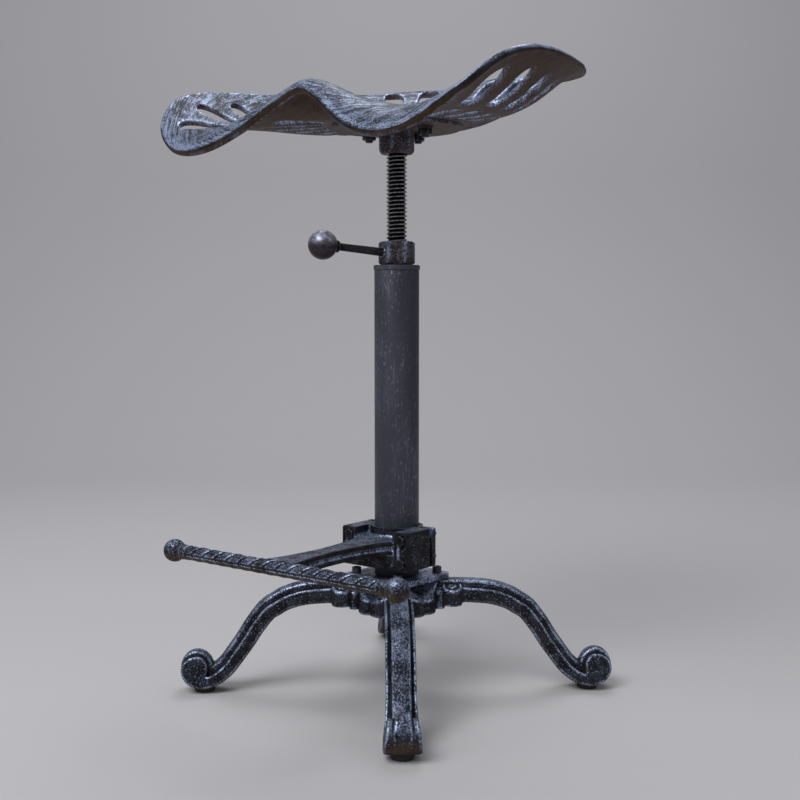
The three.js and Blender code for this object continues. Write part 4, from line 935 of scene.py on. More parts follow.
def lean_top(bm, lobe, side):
    """Tips the upper part of a lobe, so that its top slopes down away from the shank."""
    level = ROOT_TOP - lobe["drop"] - lobe["height"] / 2
    for vert in bm.verts:
        if vert.co.z > level:
            vert.co.z -= DISC_LEAN * (side * vert.co.y - lobe["aside"])
    return bm


# %% Shapes of a root
def block(x0, x1, y0, y1, z0, z1):
    bm = bmesh.new()
    bmesh.ops.create_cube(bm, size=1)
    bmesh.ops.scale(bm, vec=(x1 - x0, y1 - y0, z1 - z0), verts=bm.verts)
    bmesh.ops.translate(bm, verts=bm.verts, vec=((x0 + x1) / 2, (y0 + y1) / 2, (z0 + z1) / 2))
    return bm


def hull_of(shapes):
    """The tight skin round several shapes."""
    bm = joined(shapes)
    made = bmesh.ops.convex_hull(bm, input=bm.verts)
    bmesh.ops.delete(bm, geom=list(set(made["geom_interior"]) | set(made["geom_unused"])), context="VERTS")
    return bm


def disc_rim(side):
    """The thin raised rim round the outer disc."""
    bm = bmesh.new()
    centre = Vector((ROOT_LOBES["outer"]["out"], side * ROOT_LOBES["outer"]["aside"], 0))
    top = ROOT_TOP - ROOT_LOBES["outer"]["drop"]
    ring = bmesh.ops.create_circle(bm, cap_ends=False, radius=DISC_RIM, segments=10)["verts"]
    bmesh.ops.rotate(bm, verts=ring, cent=(0, 0, 0), matrix=Matrix.Rotation(math.pi / 2, 3, "X"))
    bmesh.ops.translate(bm, verts=ring, vec=centre + Vector((DISC_RIM_OUT, 0, top + 0.2)))
    bmesh.ops.spin(bm, geom=ring + bm.edges[:], cent=centre, axis=UP, angle=2 * math.pi, steps=40,
                   use_merge=True)
    bmesh.ops.remove_doubles(bm, verts=bm.verts, dist=0.001)
    return bm


def root_shapes():
    """The root's core, and on both sides its two lobes and its leaning disc with a boss and a rim."""
    outer = ROOT_LOBES["outer"]
    core = (8, 44, -ROOT_HALF, ROOT_HALF, ROOT_TOP - outer["drop"] - outer["height"], ROOT_TOP)
    shapes = [block(*core)]
    for side in (-1, 1):
        shapes.append(hull_of([lobe_post(ROOT_LOBES["big"], side), block(*core)]))
        shapes.append(lobe_post(ROOT_LOBES["small"], side, dome=2.6))
        disc = [lobe_post(outer, side), lobe_post(outer, side, radius=4.6, drop=outer["drop"] - 1.5),
                disc_rim(side)]
        shapes += [lean_top(shape, outer, side) for shape in disc]
    return shapes


print("lobes on a root:", len(ROOT_LOBES) * 2)

# %% [markdown]
# A voxel remesh reads only what is inside and outside, so shapes that overlap become one skin. Its grain
# sets how fine the smallest groove can be. A few rounds of smoothing then soften the corners.

# %% Objects that hold a shape while a modifier works on it
def to_holder(bm, name):
    bmesh.ops.recalc_face_normals(bm, faces=bm.faces)
    return new_object(name, new_mesh(name, bm))


def from_holder(holder):
    """The holder's mesh with its modifiers worked in; the holder goes."""
    depsgraph = bpy.context.evaluated_depsgraph_get()
    mesh = bpy.data.meshes.new_from_object(holder.evaluated_get(depsgraph))
    bm = bmesh.new()
    bm.from_mesh(mesh)
    bpy.data.meshes.remove(mesh)
    old = holder.data
    bpy.data.objects.remove(holder)
    bpy.data.meshes.remove(old)
    return bm


# %% Cutting and melting
SMOOTHING_ROUNDS = 3


def cut_away(bm, cutters):
    """Takes the cutters out of a shape."""
    holder = to_holder(bm, "cut_shape")
    knives = [to_holder(cutter, "knife") for cutter in cutters]
    for knife in knives:
        cut = holder.modifiers.new("cut", "BOOLEAN")
        cut.operation = "DIFFERENCE"
        cut.solver = "EXACT"
        cut.object = knife
    result = from_holder(holder)
    for knife in knives:
        bpy.data.objects.remove(knife)
    return result


def cast_together(shapes, voxel):
    """One skin over overlapping closed shapes, with soft corners."""
    holder = to_holder(joined(shapes), "casting")
    melt = holder.modifiers.new("melt", "REMESH")
    melt.mode = "VOXEL"
    melt.voxel_size = voxel
    bm = from_holder(holder)
    for _ in range(SMOOTHING_ROUNDS):
        bmesh.ops.smooth_vert(bm, verts=bm.verts, factor=0.5, use_axis_x=True, use_axis_y=True,
                              use_axis_z=True)
    return bm


# %% The four legs
LEG_VOXEL = 0.8
MITRE_GAP = 0.15


def mitred(bm):
    """Cuts a leg at the two planes that part it from its neighbours."""
    for side in (-1, 1):
        normal = Vector((-1, side, 0)).normalized()
        keep_one_side(bm, -normal * MITRE_GAP, normal)
    return bm


leg = cast_together([shank, scroll, *root_shapes()], LEG_VOXEL)
leg = mitred(keep_one_side(leg, (0, 0, ROOT_TOP), UP))
measure_wear(leg, 3)
for number, turn in enumerate(LEG_TURNS, 1):
    finish_piece(turn_about_z(leg.copy(), turn), f"scroll_leg_{number}", "base", [f"leg_{number}"], LEG_IRON,
                 measured=True, sharp=50)
leg.free()

# %% [markdown]
# ## Pads, base plate and screws
# Each scroll stands on a rubber pad pressed up into it. The square plate lies on the four roots and is
# held through its corners by black socket screws.

# %% Rubber pads
PAD_RADIUS = 11.5
PAD_OUT = 211.0
PAD_TOP = box_mm("foot_pad_1")[1].z
for number, turn in enumerate(LEG_TURNS, 1):
    pad = lathe([(0, 0), (PAD_RADIUS - 1.2, 0), (PAD_RADIUS, 1.4), (PAD_RADIUS, PAD_TOP - 0.6),
                 (PAD_RADIUS - 0.6, PAD_TOP), (0, PAD_TOP)], 48)
    finish_piece(set_round(soften(pad, 0.4, 20), PAD_OUT, turn), f"rubber_pad_{number}", "base",
                 [f"foot_pad_{number}"], RUBBER_BLACK)

# %% Base plate
PLATE_SIDE = 84.0
PLATE_CUT = 4.2
PLATE_TOP = SPIGOT_HIGH - 10
SPIGOT_RADIUS = 20.65


def square_plate():
    bm = block(-PLATE_SIDE / 2, PLATE_SIDE / 2, -PLATE_SIDE / 2, PLATE_SIDE / 2, PLATE_LOW, PLATE_TOP)
    upright = [edge for edge in bm.edges if abs(edge.verts[0].co.z - edge.verts[1].co.z) > 1]
    round_edges(bm, upright, PLATE_CUT * 1.4, 4)
    soften(bm, 1.1, 60, 3)
    turn_about_z(bm, math.pi / 4 + LEG_TURN)
    return joined([bm, post(SPIGOT_RADIUS, PLATE_TOP - 1, SPIGOT_HIGH)])


finish_piece(square_plate(), "square_plate", "base", ["base_plate"], CLAMP_IRON)

# %% Socket screws
SCREW_OUT = 44.0
SCREW_HEAD_RADIUS = 5.0
SCREW_RADIUS = 3.0
SOCKET_RADIUS = 2.9


def socket_screw():
    """Head with a hexagon socket: the head is turned as a shell that is open where the socket goes in."""
    low, high = heights("plate_screw_1")
    head_low = PLATE_TOP + 0.3
    bm = lathe([(0, low), (SCREW_RADIUS, low), (SCREW_RADIUS, head_low), (SCREW_HEAD_RADIUS, head_low),
                (SCREW_HEAD_RADIUS, high - 0.7), (SCREW_HEAD_RADIUS - 0.7, high), (SOCKET_RADIUS, high)], 48)
    socket = bmesh.new()
    ring = bmesh.ops.create_circle(socket, cap_ends=True, radius=SOCKET_RADIUS, segments=6)["verts"]
    bmesh.ops.translate(socket, verts=ring, vec=(0, 0, high - 3))
    sides = bmesh.ops.extrude_face_region(socket, geom=socket.faces[:], use_keep_orig=True)
    bmesh.ops.translate(socket, verts=new_points(sides), vec=(0, 0, 5))
    return cut_away(close_ends(bm), [socket])


for number, turn in enumerate(LEG_TURNS, 1):
    finish_piece(set_round(socket_screw(), SCREW_OUT, turn), f"socket_screw_{number}", "base",
                 [f"plate_screw_{number}"], BOLT_BLACK)

# %% [markdown]
# ## Column and cap
# The column is plain tube, brushed up and down. Its cap is screwed in and stands out by less than a
# millimetre, with a rounded lip.

# %% Tube and cap
TUBE_RADIUS = 24.15
TUBE_BORE = 20.95
SCREW_BORE = 11.45
TUBE_LOW, TUBE_HIGH = heights("column_tube")
CAP_LOW, CAP_HIGH = box_mm("tube_cap")
CAP_RADIUS = CAP_HIGH.x

tube = sleeve(TUBE_BORE, TUBE_RADIUS, TUBE_LOW, TUBE_HIGH, 96)
soften(tube, 0.5, 40)
finish_piece(tube, "brushed_tube", "base", ["column_tube"], COLUMN_FINISH)

cap = lathe([(SCREW_BORE, CAP_HIGH.z), (SCREW_BORE, CAP_LOW.z), (TUBE_BORE - 0.3, CAP_LOW.z),
             (TUBE_BORE - 0.3, TUBE_HIGH + 0.3), (CAP_RADIUS, TUBE_HIGH + 0.3), (CAP_RADIUS, CAP_HIGH.z)],
            96, closed=True)
soften(cap, 0.9, 40, 3)
finish_piece(cap, "screwed_cap", "base", ["tube_cap"], COLUMN_FINISH)

# %% [markdown]
# ## Lock nut, lever and knob
# A nut is a six-sided bar whose ends are turned off by a cone. The ring of points round it follows the
# hexagon, and each point near an end drops by how far it stands out past the cone's foot, which gives
# the curved edges that a real chamfer has. The lever is welded into the nut, and the bead stays rough.

# %% Six-sided bars
HEX_STEPS = 10
CONE_FOOT = 0.97  # of the distance from the middle to a flat side
CONE_SLOPE = 0.55


def hex_bar(across, bottom, top, low_drop, high_drop, bore=0.0):
    """A hexagon with coned ends; a bore of zero leaves it solid."""
    count = 6 * HEX_STEPS
    foot = across / 2 * CONE_FOOT

    def outline(column):
        angle = column * 2 * math.pi / count
        within = (angle + math.pi / 6) % (math.pi / 3) - math.pi / 6
        return angle, across / 2 / math.cos(within)

    def place(column, row):
        angle, reach = outline(column % count)
        direction = Vector((math.cos(angle), math.sin(angle), 0))
        low = bottom + max(0, reach - foot) * CONE_SLOPE * low_drop
        high = top - max(0, reach - foot) * CONE_SLOPE * high_drop
        rings = [(max(bore, 0.001), bottom), (foot if low_drop else reach, bottom), (reach, low),
                 (reach, high), (foot if high_drop else reach, top), (max(bore, 0.001), top)]
        reach, height = rings[row % len(rings)]
        return direction * reach + UP * height

    bm = wrap_grid(count, 6 if bore else 5, place)
    bmesh.ops.recalc_face_normals(bm, faces=bm.faces)
    return bm


# %% Lock nut with the weld bead round its lever
LEVER_TURN = math.radians(-112)
LEVER_RISE = math.radians(5)
LEVER_LEVEL = 0.47  # of the nut's height
NUT_ACROSS = 34.0
NUT_LOW, NUT_HIGH = heights("lock_nut")
lever_way = Vector((math.cos(LEVER_TURN) * math.cos(LEVER_RISE),
                    math.sin(LEVER_TURN) * math.cos(LEVER_RISE), math.sin(LEVER_RISE)))
lever_root = UP * blend(NUT_LOW, NUT_HIGH, LEVER_LEVEL)


def weld_bead():
    """A lumpy ring round the lever, where it enters the nut."""
    turns = 44

    def place(column, row):
        angle = column * 2 * math.pi / turns
        round_bead = row * 2 * math.pi / 10
        lump = 1 + 0.2 * math.sin(angle * 7) + 0.12 * math.sin(angle * 3 + 1)
        reach = 5.0 + 1.7 * lump * math.cos(round_bead)
        return Vector((reach * math.cos(angle), reach * math.sin(angle), 1.5 * lump * math.sin(round_bead)))

    bm = wrap_grid(turns, 10, place)
    return aim(bm, lever_root + lever_way * (NUT_ACROSS / 2 + 0.4), lever_way)


lock_nut = hex_bar(NUT_ACROSS, NUT_LOW, NUT_HIGH, 1, 1, bore=SCREW_BORE)
soften(lock_nut, 0.8, 25)
turn_about_z(lock_nut, LEVER_TURN)
finish_piece(joined([lock_nut, weld_bead()]), "lock_nut_casting", "lock", ["lock_nut"], BOSS_IRON)

# %% Lever and knob
KNOB_RADIUS = 15.5
KNOB_OUT = 88.5  # from the axis, measured level
KNOB_AT = KNOB_OUT / math.cos(LEVER_RISE)
COLLAR_END = KNOB_AT - KNOB_RADIUS - 0.3
lever = lathe([(0, 14.95), (4.65, 14.95), (4.5, 22), (3.9, COLLAR_END - 4.2), (4.1, COLLAR_END - 3.4),
               (5.2, COLLAR_END - 2.6), (6.4, COLLAR_END - 1.8), (6.5, COLLAR_END - 0.6), (6.1, COLLAR_END),
               (3.8, COLLAR_END + 0.2), (3.8, COLLAR_END + 5.6), (0, COLLAR_END + 5.6)], 40)
aim(lever, lever_root, lever_way)
finish_piece(lever, "tapered_lever", "lock", ["lever_rod"], LEVER_FINISH, levels=1)

knob = lathe(half_circle(KNOB_RADIUS, 32), 64)
aim(knob, lever_root + lever_way * KNOB_AT, lever_way)
finish_piece(knob, "lever_ball", "lock", ["lever_knob"], KNOB_FINISH, sharp=80)

# %% [markdown]
# ## Seat screw
# One turn of the thread's outline is spun round the axis while it climbs, so the crest runs as a real
# helix. `spin` does both at once: its `dvec` lifts every step by its share of the pitch.

# %% Threaded rod and the bush on its lower end
PITCH = 4.233
CREST = 11.1
ROOT = 8.8
THREAD_STEPS = 40
ROD_LOW, ROD_HIGH = heights("threaded_rod")
BUSH_LOW, BUSH_HIGH = heights("guide_bush")
BOSS_LOW, BOSS_HIGH = heights("seat_boss")
THREAD_LOW = BUSH_HIGH + 5.4
BUSH_BORE = 9.15
BUSH_RADIUS = 20.4


def thread(bottom, top):
    """A helix of round crests, cut level at both ends."""
    bm = bmesh.new()
    flank = [(ROOT, 0), (ROOT + 0.3, 0.12), (CREST - 0.3, 0.36), (CREST, 0.44), (CREST, 0.56),
             (CREST - 0.3, 0.64), (ROOT + 0.3, 0.88), (ROOT, 1)]
    points = [bm.verts.new((reach, 0, bottom - PITCH + share * PITCH)) for reach, share in flank]
    edges = [bm.edges.new(pair) for pair in zip(points, points[1:])]
    turns = math.ceil((top - bottom) / PITCH) + 1
    bmesh.ops.spin(bm, geom=points + edges, cent=(0, 0, 0), axis=UP, dvec=(0, 0, PITCH / THREAD_STEPS),
                   angle=2 * math.pi * turns, steps=THREAD_STEPS * turns, use_merge=False)
    bmesh.ops.remove_doubles(bm, verts=bm.verts, dist=0.02)
    for level, way in ((bottom, -1), (top, 1)):
        keep_one_side(bm, (0, 0, level), (0, 0, way))
    return bm


rod = joined([
    thread(THREAD_LOW, BOSS_LOW + 2),
    post(CREST, BOSS_LOW + 1.5, ROD_HIGH, steps=48),
    post(CREST, BUSH_HIGH + 0.4, THREAD_LOW + 0.5, steps=48),
    post(ROOT, ROD_LOW + 0.5, BUSH_HIGH + 1, steps=48),
    post(CREST, ROD_LOW, BUSH_LOW - 0.4, steps=48),
])
finish_piece(rod, "seat_screw", "seat", ["threaded_rod"], OILED_STEEL, wear_passes=1)
bush = sleeve(BUSH_BORE, BUSH_RADIUS, BUSH_LOW, BUSH_HIGH, 64)
soften(bush, 0.6, 40)
finish_piece(bush, "rod_bush", "carriage", ["guide_bush"], OILED_STEEL)

# %% [markdown]
# ## Seat boss and its bolts
# The boss is a hexagon with a deep chamfer at its lower end, cast on a round plate. Four bolts come down
# through the pan and the plate, each with a washer and a nut.

# %% Boss and plate
BOSS_TURN = math.radians(-37)
BOSS_PLATE_RADIUS = 69.0
BOSS_PLATE_LOW = BOSS_HIGH - 3


def seat_boss():
    bar = hex_bar(NUT_ACROSS, BOSS_LOW, BOSS_PLATE_LOW + 1.5, 2.2, 0, bore=SCREW_BORE - 0.05)
    soften(bar, 0.9, 25)
    turn_about_z(bar, BOSS_TURN)
    plate = lathe([(SCREW_BORE, BOSS_PLATE_LOW), (17.5, BOSS_PLATE_LOW - 1.8), (20, BOSS_PLATE_LOW - 0.5),
                   (22.5, BOSS_PLATE_LOW), (BOSS_PLATE_RADIUS, BOSS_PLATE_LOW),
                   (BOSS_PLATE_RADIUS, BOSS_HIGH), (0.001, BOSS_HIGH), (0.001, BOSS_HIGH - 2.5),
                   (SCREW_BORE, BOSS_HIGH - 2.5)], 96, closed=True)
    soften(plate, 0.7, 60)
    return joined([bar, plate])


finish_piece(seat_boss(), "boss_and_plate", "seat", ["seat_boss"], BOSS_IRON)

# %% Seat bolts, washers and nuts
SEAT_BOLT_OUT = 38.0
SEAT_BOLT_HOLE = 4.35
SEAT_HEX = 13.0
for number in range(4):
    names = [f"seat_{kind}_{number + 1}" for kind in ("bolt", "washer", "nut")]
    (bolt_low, bolt_high), (washer_low, washer_high), (nut_low, nut_high) = map(heights, names)
    head_low = FLAT_TOP + 0.3
    bolt = lathe([(0, bolt_low), (3.4, bolt_low), (4, bolt_low + 0.6), (4, head_low), (8.2, head_low),
                  (8.5, head_low + 0.5), (7.6, head_low + 1.7), (5.6, head_low + 2.8), (3, head_low + 3.4),
                  (0, bolt_high)], 48)
    washer = sleeve(SEAT_BOLT_HOLE, 8.5, washer_low, washer_high, 48)
    soften(washer, 0.3, 40)
    nut = hex_bar(SEAT_HEX, nut_low, nut_high, 1, 0.4, bore=SEAT_BOLT_HOLE)
    soften(nut, 0.3, 25)
    for shape, kind, name in zip((bolt, washer, nut), ("dome_bolt", "washer_ring", "hex_nut"), names):
        set_round(shape, SEAT_BOLT_OUT, number * math.pi / 2)
        finish_piece(shape, f"{kind}_{number + 1}", "seat", [name], BOLT_BLACK)

# %% [markdown]
# ## Footrest clamp and arm
# The front half of the clamp is one casting with the arm: a block with two ears, a shell round the tube,
# a ledge between them, and a pocket in each ear for its two bolt heads. It is roughed out from blocks and
# posts, its hollows are cut with booleans, and the arm, two flanges with a web between them, is added.
# The same voxel melt as on the legs then gives it soft corners and fillets.

# %% Sizes of the clamp
CLAMP_LOW, CLAMP_HIGH = box_mm("clamp_front")
CLAMP_HALF = CLAMP_HIGH.x
CLAMP_FRONT = -39.95
CLAMP_BORE = TUBE_RADIUS + 0.3
SHELL_RADIUS = CLAMP_BORE + 4.5
EAR_INSIDE = SHELL_RADIUS - 4
LEDGE = blend(CLAMP_LOW.z, CLAMP_HIGH.z, 0.766)
POCKET_FLOOR = CLAMP_FRONT + 3.8
POCKET_RIM = 3.0
CLAMP_BOLT_ASIDE = 35.02
BOLT_HOLE = 3.35
CUSP_RADIUS = 3.6
CLAMP_MIDDLE = (CLAMP_LOW.z + CLAMP_HIGH.z) / 2
BOLT_LEVELS = [CLAMP_MIDDLE - 12.5, CLAMP_MIDDLE + 12.5]
FOOTREST_LEVEL = 165.78
FOOTREST_OUT = 188.0


def rounded_block(sizes, radius, segments=2):
    bm = block(*sizes)
    return round_edges(bm, bm.edges[:], radius, segments)


def cross_post(radius, y0, y1, x, z):
    """A round post that lies along Y."""
    return aim(post(radius, 0, y1 - y0, steps=32), Vector((x, y0, z)), (0, 1, 0))


def bolt_holes(y0, y1):
    return [cross_post(BOLT_HOLE, y0, y1, side * CLAMP_BOLT_ASIDE, level)
            for side in (-1, 1) for level in BOLT_LEVELS]


def clamp_shell():
    return post(SHELL_RADIUS, CLAMP_LOW.z, CLAMP_HIGH.z, steps=96)


def tube_hole():
    return post(CLAMP_BORE, CLAMP_LOW.z - 5, CLAMP_HIGH.z + 5, steps=96)


# %% Rough body of the front half
def pocket_knives():
    """One pocket in each ear, tall enough for both bolt heads."""
    knives = []
    for side in (-1, 1):
        edges = sorted((side * (CLAMP_HALF - POCKET_RIM), side * (SHELL_RADIUS + 0.3)))
        knives.append(rounded_block((*edges, CLAMP_FRONT - 4, POCKET_FLOOR, CLAMP_LOW.z + POCKET_RIM,
                                     CLAMP_HIGH.z - POCKET_RIM), 2.4, 3))
    return knives


def pocket_cusps():
    """A rounded bump of the outer rim that reaches in between the two bolt heads."""
    return [cross_post(CUSP_RADIUS, CLAMP_FRONT + 0.6, POCKET_FLOOR + 1, side * (CLAMP_HALF - POCKET_RIM),
                       CLAMP_MIDDLE) for side in (-1, 1)]


def clamp_body():
    body = rounded_block((-CLAMP_HALF, CLAMP_HALF, CLAMP_FRONT, 6, CLAMP_LOW.z, CLAMP_HIGH.z), 2.2, 3)
    dip = rounded_block((-EAR_INSIDE, EAR_INSIDE, CLAMP_FRONT - 8, 12, LEDGE, CLAMP_HIGH.z + 10), 2.5, 3)
    return cut_away(body, [dip, *pocket_knives()])


def shell_fillet():
    """A ramp of metal between the ledge and the shell, as a casting has."""
    rise = 3.6
    steps = 6
    profile = [(SHELL_RADIUS - 2, LEDGE - 2), (SHELL_RADIUS + rise, LEDGE - 2)]
    profile += [(SHELL_RADIUS + rise * (1 - math.sin(k * math.pi / 2 / steps)),
                 LEDGE + rise * (1 - math.cos(k * math.pi / 2 / steps))) for k in range(steps + 1)]
    return lathe([*profile, (SHELL_RADIUS - 2, LEDGE + rise)], 96, closed=True)


# %% Arm with two flanges and a web
ARM_HEIGHT = 14.0
ARM_FLANGE = 4.4
ARM_WEB_INSET = 3.0
ARM_HALVES = [26.5, 17.3, 12.5, 16.2, 23.0]  # half widths from the clamp to the bar
ARM_PLACES = [CLAMP_FRONT, -66.6, -113.97, -161.3, -FOOTREST_OUT]
ARM_STATIONS = 56


def arm_width(share):
    middles = [Vector((half, place, 0)) for half, place in zip(ARM_HALVES, ARM_PLACES)]
    return curve_point(middles, share)


def arm_ring(row):
    """The I-shaped outline at one station, with its flange edges rounded."""
    here = arm_width(row / ARM_STATIONS)
    half, place = here.x, here.y
    inner = half - ARM_WEB_INSET
    top = ARM_HEIGHT / 2
    low = top - ARM_FLANGE
    outline = [
        (0, -top), (half - 1.6, -top), (half - 0.5, -top + 0.5), (half, -top + 1.7),
        (half, -low - 1.6), (half - 0.6, -low - 0.4), (inner + 0.6, -low + 0.3), (inner, -low + 1.0),
        (inner, low - 1.0), (inner + 0.6, low - 0.3), (half - 0.6, low + 0.4), (half, low + 1.6),
        (half, top - 1.7), (half - 0.5, top - 0.5), (half - 1.6, top), (0, top),
    ]
    return [Vector((aside, place, FOOTREST_LEVEL + up)) for aside, up in both_sides(outline)]


def arm_shape():
    """The arm, with a short stub that reaches into the clamp."""
    rings = [arm_ring(row) for row in range(ARM_STATIONS + 1)]
    inside = [point + Vector((0, 8, 0)) for point in rings[0]]
    return joined([swept(rings), swept([rings[0], inside])])


# %% Casting, bore and bolt holes
CLAMP_VOXEL = 0.7
BAR_HOLE = 8.4


def clamp_casting():
    shapes = [clamp_body(), *pocket_cusps(), clamp_shell(), shell_fillet(), arm_shape()]
    rear_space = block(-60, 60, 0, 60, CLAMP_LOW.z - 5, CLAMP_HIGH.z + 5)
    bar_space = aim(post(BAR_HOLE, -80, 80, steps=40), Vector((0, -FOOTREST_OUT, FOOTREST_LEVEL)), (1, 0, 0))
    knives = [tube_hole(), rear_space, bar_space, *bolt_holes(CLAMP_FRONT - 5, 5)]
    return cut_away(cast_together(shapes, CLAMP_VOXEL), knives)


finish_piece(clamp_casting(), "clamp_and_arm", "footrest", ["clamp_front"], CLAMP_IRON,
             wear_passes=3, sharp=60)

# %% [markdown]
# The rear half is a plain strap of even thickness, with two ears that the nuts pull against. It is
# melted in the same way, so its corners match.

# %% Rear strap
EAR_FRONT, EAR_BACK = 4.5, 12.0
STRAP_VOXEL = 0.8


def rear_strap():
    ears = rounded_block((-CLAMP_HALF, CLAMP_HALF, EAR_FRONT - 3, EAR_BACK, CLAMP_LOW.z, CLAMP_HIGH.z),
                         1.8, 3)
    rib = rounded_block((-SHELL_RADIUS + 1, SHELL_RADIUS - 1, EAR_FRONT, EAR_BACK + 2.2, CLAMP_LOW.z + 0.6,
                         CLAMP_HIGH.z - 0.6), 1.6)
    front_space = block(-60, 60, -60, EAR_FRONT, CLAMP_LOW.z - 5, CLAMP_HIGH.z + 5)
    knives = [tube_hole(), front_space, *bolt_holes(-5, EAR_BACK + 8)]
    return cut_away(cast_together([ears, clamp_shell(), rib], STRAP_VOXEL), knives)


finish_piece(rear_strap(), "clamp_strap", "footrest", ["clamp_rear"], CLAMP_IRON,
             wear_passes=3, sharp=60)

# %% Clamp bolts and nuts
CLAMP_HEX = 10.0
for number in range(1, 5):
    bolt_box = box_mm(f"clamp_bolt_{number}")
    nut_box = box_mm(f"clamp_nut_{number}")
    head_height = POCKET_FLOOR - 0.3 - bolt_box[0].y
    head = hex_bar(CLAMP_HEX, 0, head_height, 1, 0)
    soften(head, 0.35, 25)
    bolt = joined([head, post(3, head_height - 0.5, bolt_box[1].y - bolt_box[0].y, steps=32)])
    nut = hex_bar(CLAMP_HEX, 0, nut_box[1].y - nut_box[0].y, 0, 1, bore=BOLT_HOLE)
    soften(nut, 0.35, 25)
    for shape, node, title, (low, high) in ((bolt, f"clamp_bolt_{number}", "hex_bolt", bolt_box),
                                            (nut, f"clamp_nut_{number}", "clamp_hex_nut", nut_box)):
        aim(shape, Vector(((low.x + high.x) / 2, low.y, (low.z + high.z) / 2)), (0, 1, 0))
        finish_piece(shape, f"{title}_{number}", "footrest", [node], BOLT_BLACK)

# %% [markdown]
# ## Footrest bar
# The bar is a round casting made to look like a twisted square bar. It was moulded in an upper and a
# lower half: on both halves thin ridges start at the seam in front and run round to the seam at the back,
# leaning to the right. The seam itself is a fine dark step.

# %% Ridged bar
BAR_RADIUS = 7.1
RIDGE_HEIGHT = 0.9
RIDGE_SPACING = 296 / 17.5  # along the bar
RIDGE_LEAN = 11.5  # along the bar, for every quarter of the way round
RIDGE_STEEP, RIDGE_GENTLE = 1.3, 2.8  # widths of a ridge's two flanks
LOWER_SHARE = 0.45  # of the ridges' height, on the worn lower half
SEAM_DEPTH = 0.45
COLLAR_RISE = 0.6
BAR_HALF = 141.2
BAR_STATIONS = 480
BAR_STEPS = 64
COLLAR_REACH = 8.0


def bar_radius(x, angle):
    """Angle runs from the middle of the bar's front, over its top."""
    around_bar = abs(angle)
    along = x - around_bar / (math.pi / 2) * RIDGE_LEAN
    from_ridge = (along + RIDGE_SPACING / 2) % RIDGE_SPACING - RIDGE_SPACING / 2
    width = RIDGE_STEEP if from_ridge > 0 else RIDGE_GENTLE
    ridge = RIDGE_HEIGHT * math.exp(-((from_ridge / width) ** 2))
    trough = 0.12 * math.exp(-(((from_ridge - 2.9) / 1.0) ** 2))
    lower = LOWER_SHARE if angle < 0 else 1.0
    from_seam = min(around_bar, math.pi - around_bar)
    near_seam = math.exp(-((from_seam / 0.16) ** 2))
    seam = SEAM_DEPTH * math.exp(-(((angle + 0.1) / 0.12) ** 2)) + 0.2 * near_seam
    plain_end = smooth_step(BAR_HALF - 17, BAR_HALF - 12, abs(x))
    patterned = BAR_RADIUS + (ridge - trough) * lower * (1 - 0.8 * near_seam) - seam
    collar = COLLAR_RISE * smooth_step(BAR_HALF - 12, BAR_HALF - 5, abs(x))
    return min(blend(patterned, BAR_RADIUS + 0.4, plain_end) + collar, COLLAR_REACH)


def bar_place(column, row):
    x = blend(-BAR_HALF, BAR_HALF, row / BAR_STATIONS)
    angle = (column % BAR_STEPS) * 2 * math.pi / BAR_STEPS
    angle = angle - 2 * math.pi if angle > math.pi else angle
    reach = bar_radius(x, angle)
    return Vector((x, -FOOTREST_OUT - reach * math.cos(angle), FOOTREST_LEVEL + reach * math.sin(angle)))


bar = close_ends(wrap_grid(BAR_STEPS, BAR_STATIONS, bar_place))
finish_piece(bar, "ridged_bar", "footrest", ["footrest_bar"], BAR_IRON, wear_passes=1, sharp=60)

# %% End balls
BALL_RADIUS = 12.0
BALL_ASIDE = 148.0


def end_ball(side):
    """A turned ball with slightly uneven skin and a hollow that takes the end of the bar."""
    half_outline = half_circle(BALL_RADIUS, 28)
    mouth = next(index for index, (reach, _) in enumerate(half_outline) if reach > 8.3)
    socket = [(0.001, -BALL_RADIUS + 5.6), (8.2, -BALL_RADIUS + 5.6), (8.2, half_outline[mouth][1] + 0.4)]
    bm = lathe([*socket, *half_outline[mouth:]], 56)
    for vert in bm.verts:
        lump = math.sin(vert.co.x * 0.9) * math.sin(vert.co.y * 0.8 + 1) * math.sin(vert.co.z * 0.7 + 2)
        vert.co *= 1 - 0.010 * (1 + lump)
    return aim(bm, Vector((side * BALL_ASIDE, -FOOTREST_OUT, FOOTREST_LEVEL)), (side, 0, 0))


for side, name in ((-1, "right"), (1, "left")):
    finish_piece(end_ball(side), f"end_ball_{name}", "footrest", [f"footrest_ball_{name}"], BALL_IRON,
                 levels=1)

# %% [markdown]
# ## Floor, backdrop and light
# A pale floor that curves up into the wall gives a plain background. Three large soft lamps and a little
# light from all round show the dark iron at a plain level, so its colours come out about as written.

# %% Studio
STUDIO_GREY = (0.57, 0.56, 0.58)
FLOOR_FRONT = -3.0
FLOOR_BACK = 1.6
CURVE_RADIUS = 0.8
WALL_TOP = 4.0
HALF_WIDTH = 4.0


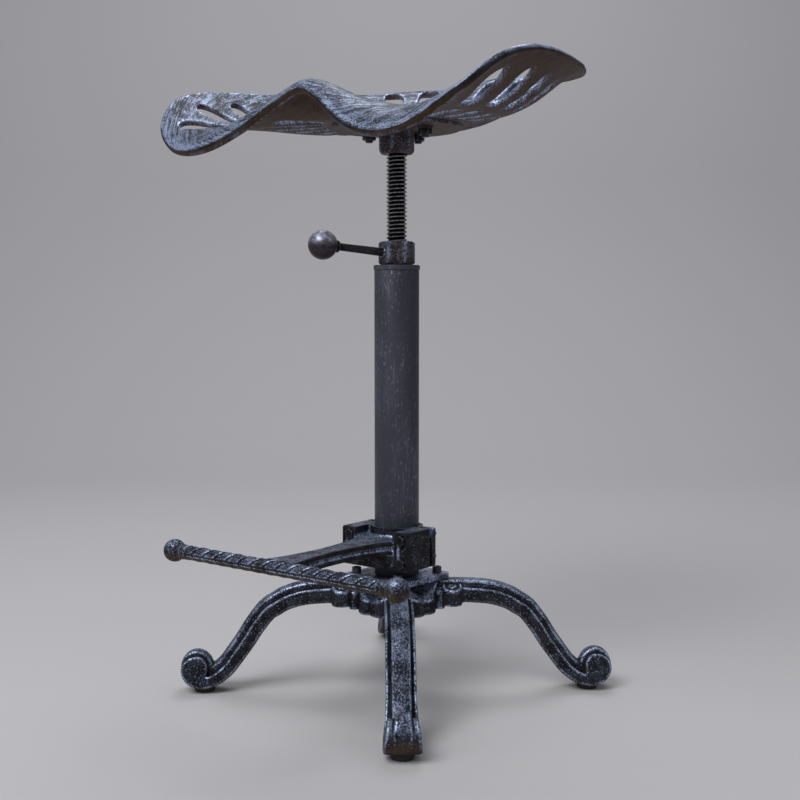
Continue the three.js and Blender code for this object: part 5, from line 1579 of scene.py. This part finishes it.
def studio_sweep():
    """A floor that turns up into a wall: one line, drawn out sideways and turned to face the camera."""
    bm = bmesh.new()
    bends = [k * math.pi / 16 for k in range(1, 9)]
    line = [(FLOOR_FRONT, 0.0), (FLOOR_BACK, 0.0)]
    line += [(FLOOR_BACK + CURVE_RADIUS * math.sin(bend), CURVE_RADIUS - CURVE_RADIUS * math.cos(bend))
             for bend in bends]
    line += [(FLOOR_BACK + CURVE_RADIUS, WALL_TOP)]
    points = [bm.verts.new((-HALF_WIDTH, out, height)) for out, height in line]
    edges = [bm.edges.new(pair) for pair in zip(points, points[1:])]
    made = bmesh.ops.extrude_edge_only(bm, edges=edges)
    bmesh.ops.translate(bm, verts=new_points(made), vec=(2 * HALF_WIDTH, 0, 0))
    turn_about_z(bm, VIEW_TURN)
    for face in bm.faces:
        face.smooth = True
    sweep = new_object("studio_sweep", new_mesh("studio_sweep", bm))
    sweep.data.materials.append(new_finish("studio_paper", STUDIO_GREY, 0, 0.9)[0])
    return sweep


# %% Lamps and air
AIM_POINT = UP * 0.35
AIR_COLOR = (0.55, 0.57, 0.6)
AIR_STRENGTH = 0.36
WALL_STRENGTH = 0.6
LAMPS = {  # degrees round from the camera, degrees up, distance, size, watts
    "lamp_left": (-36, 46, 2.6, 1.8, 46),
    "lamp_right": (80, 38, 2.8, 1.4, 3),
    "lamp_back": (170, 60, 2.6, 1.6, 20),
}


def soft_lamp(name, turn, rise, distance, size, watts):
    data = bpy.data.lights.new(name, "AREA")
    data.shape = "DISK"
    data.size = size
    data.energy = watts
    lamp = new_object(name, data)
    flat = Matrix.Rotation(turn, 3, "Z") @ towards_camera
    lamp.location = (flat * math.cos(rise) + UP * math.sin(rise)) * distance + AIM_POINT
    lamp.rotation_euler = (AIM_POINT - lamp.location).to_track_quat("-Z", "Y").to_euler()
    return lamp


def studio_world():
    """Soft light from all round. Where the sweep ends, eye and reflections meet the same pale grey."""
    world = bpy.data.worlds.new("studio_air")
    world.use_nodes = True
    tree = world.node_tree
    air = tree.nodes["Background"]
    air.inputs["Color"].default_value = (*AIR_COLOR, 1)
    air.inputs["Strength"].default_value = AIR_STRENGTH
    wall = tree.nodes.new("ShaderNodeBackground")
    wall.inputs["Color"].default_value = (*STUDIO_GREY, 1)
    wall.inputs["Strength"].default_value = WALL_STRENGTH
    path = tree.nodes.new("ShaderNodeLightPath").outputs
    seen = maths(tree, "MAXIMUM", path["Is Camera Ray"], path["Is Glossy Ray"])
    seen = maths(tree, "MAXIMUM", seen, path["Is Transmission Ray"])
    either = tree.nodes.new("ShaderNodeMixShader")
    for number, output in enumerate((seen, air.outputs[0], wall.outputs[0])):
        tree.links.new(output, either.inputs[number])
    tree.links.new(either.outputs[0], tree.nodes["World Output"].inputs["Surface"])
    return world


studio_sweep()
for name, (turn, rise, *rest) in LAMPS.items():
    soft_lamp(name, math.radians(turn), math.radians(rise), *rest)
bpy.context.scene.world = studio_world()
bpy.context.scene.view_settings.view_transform = "Standard"
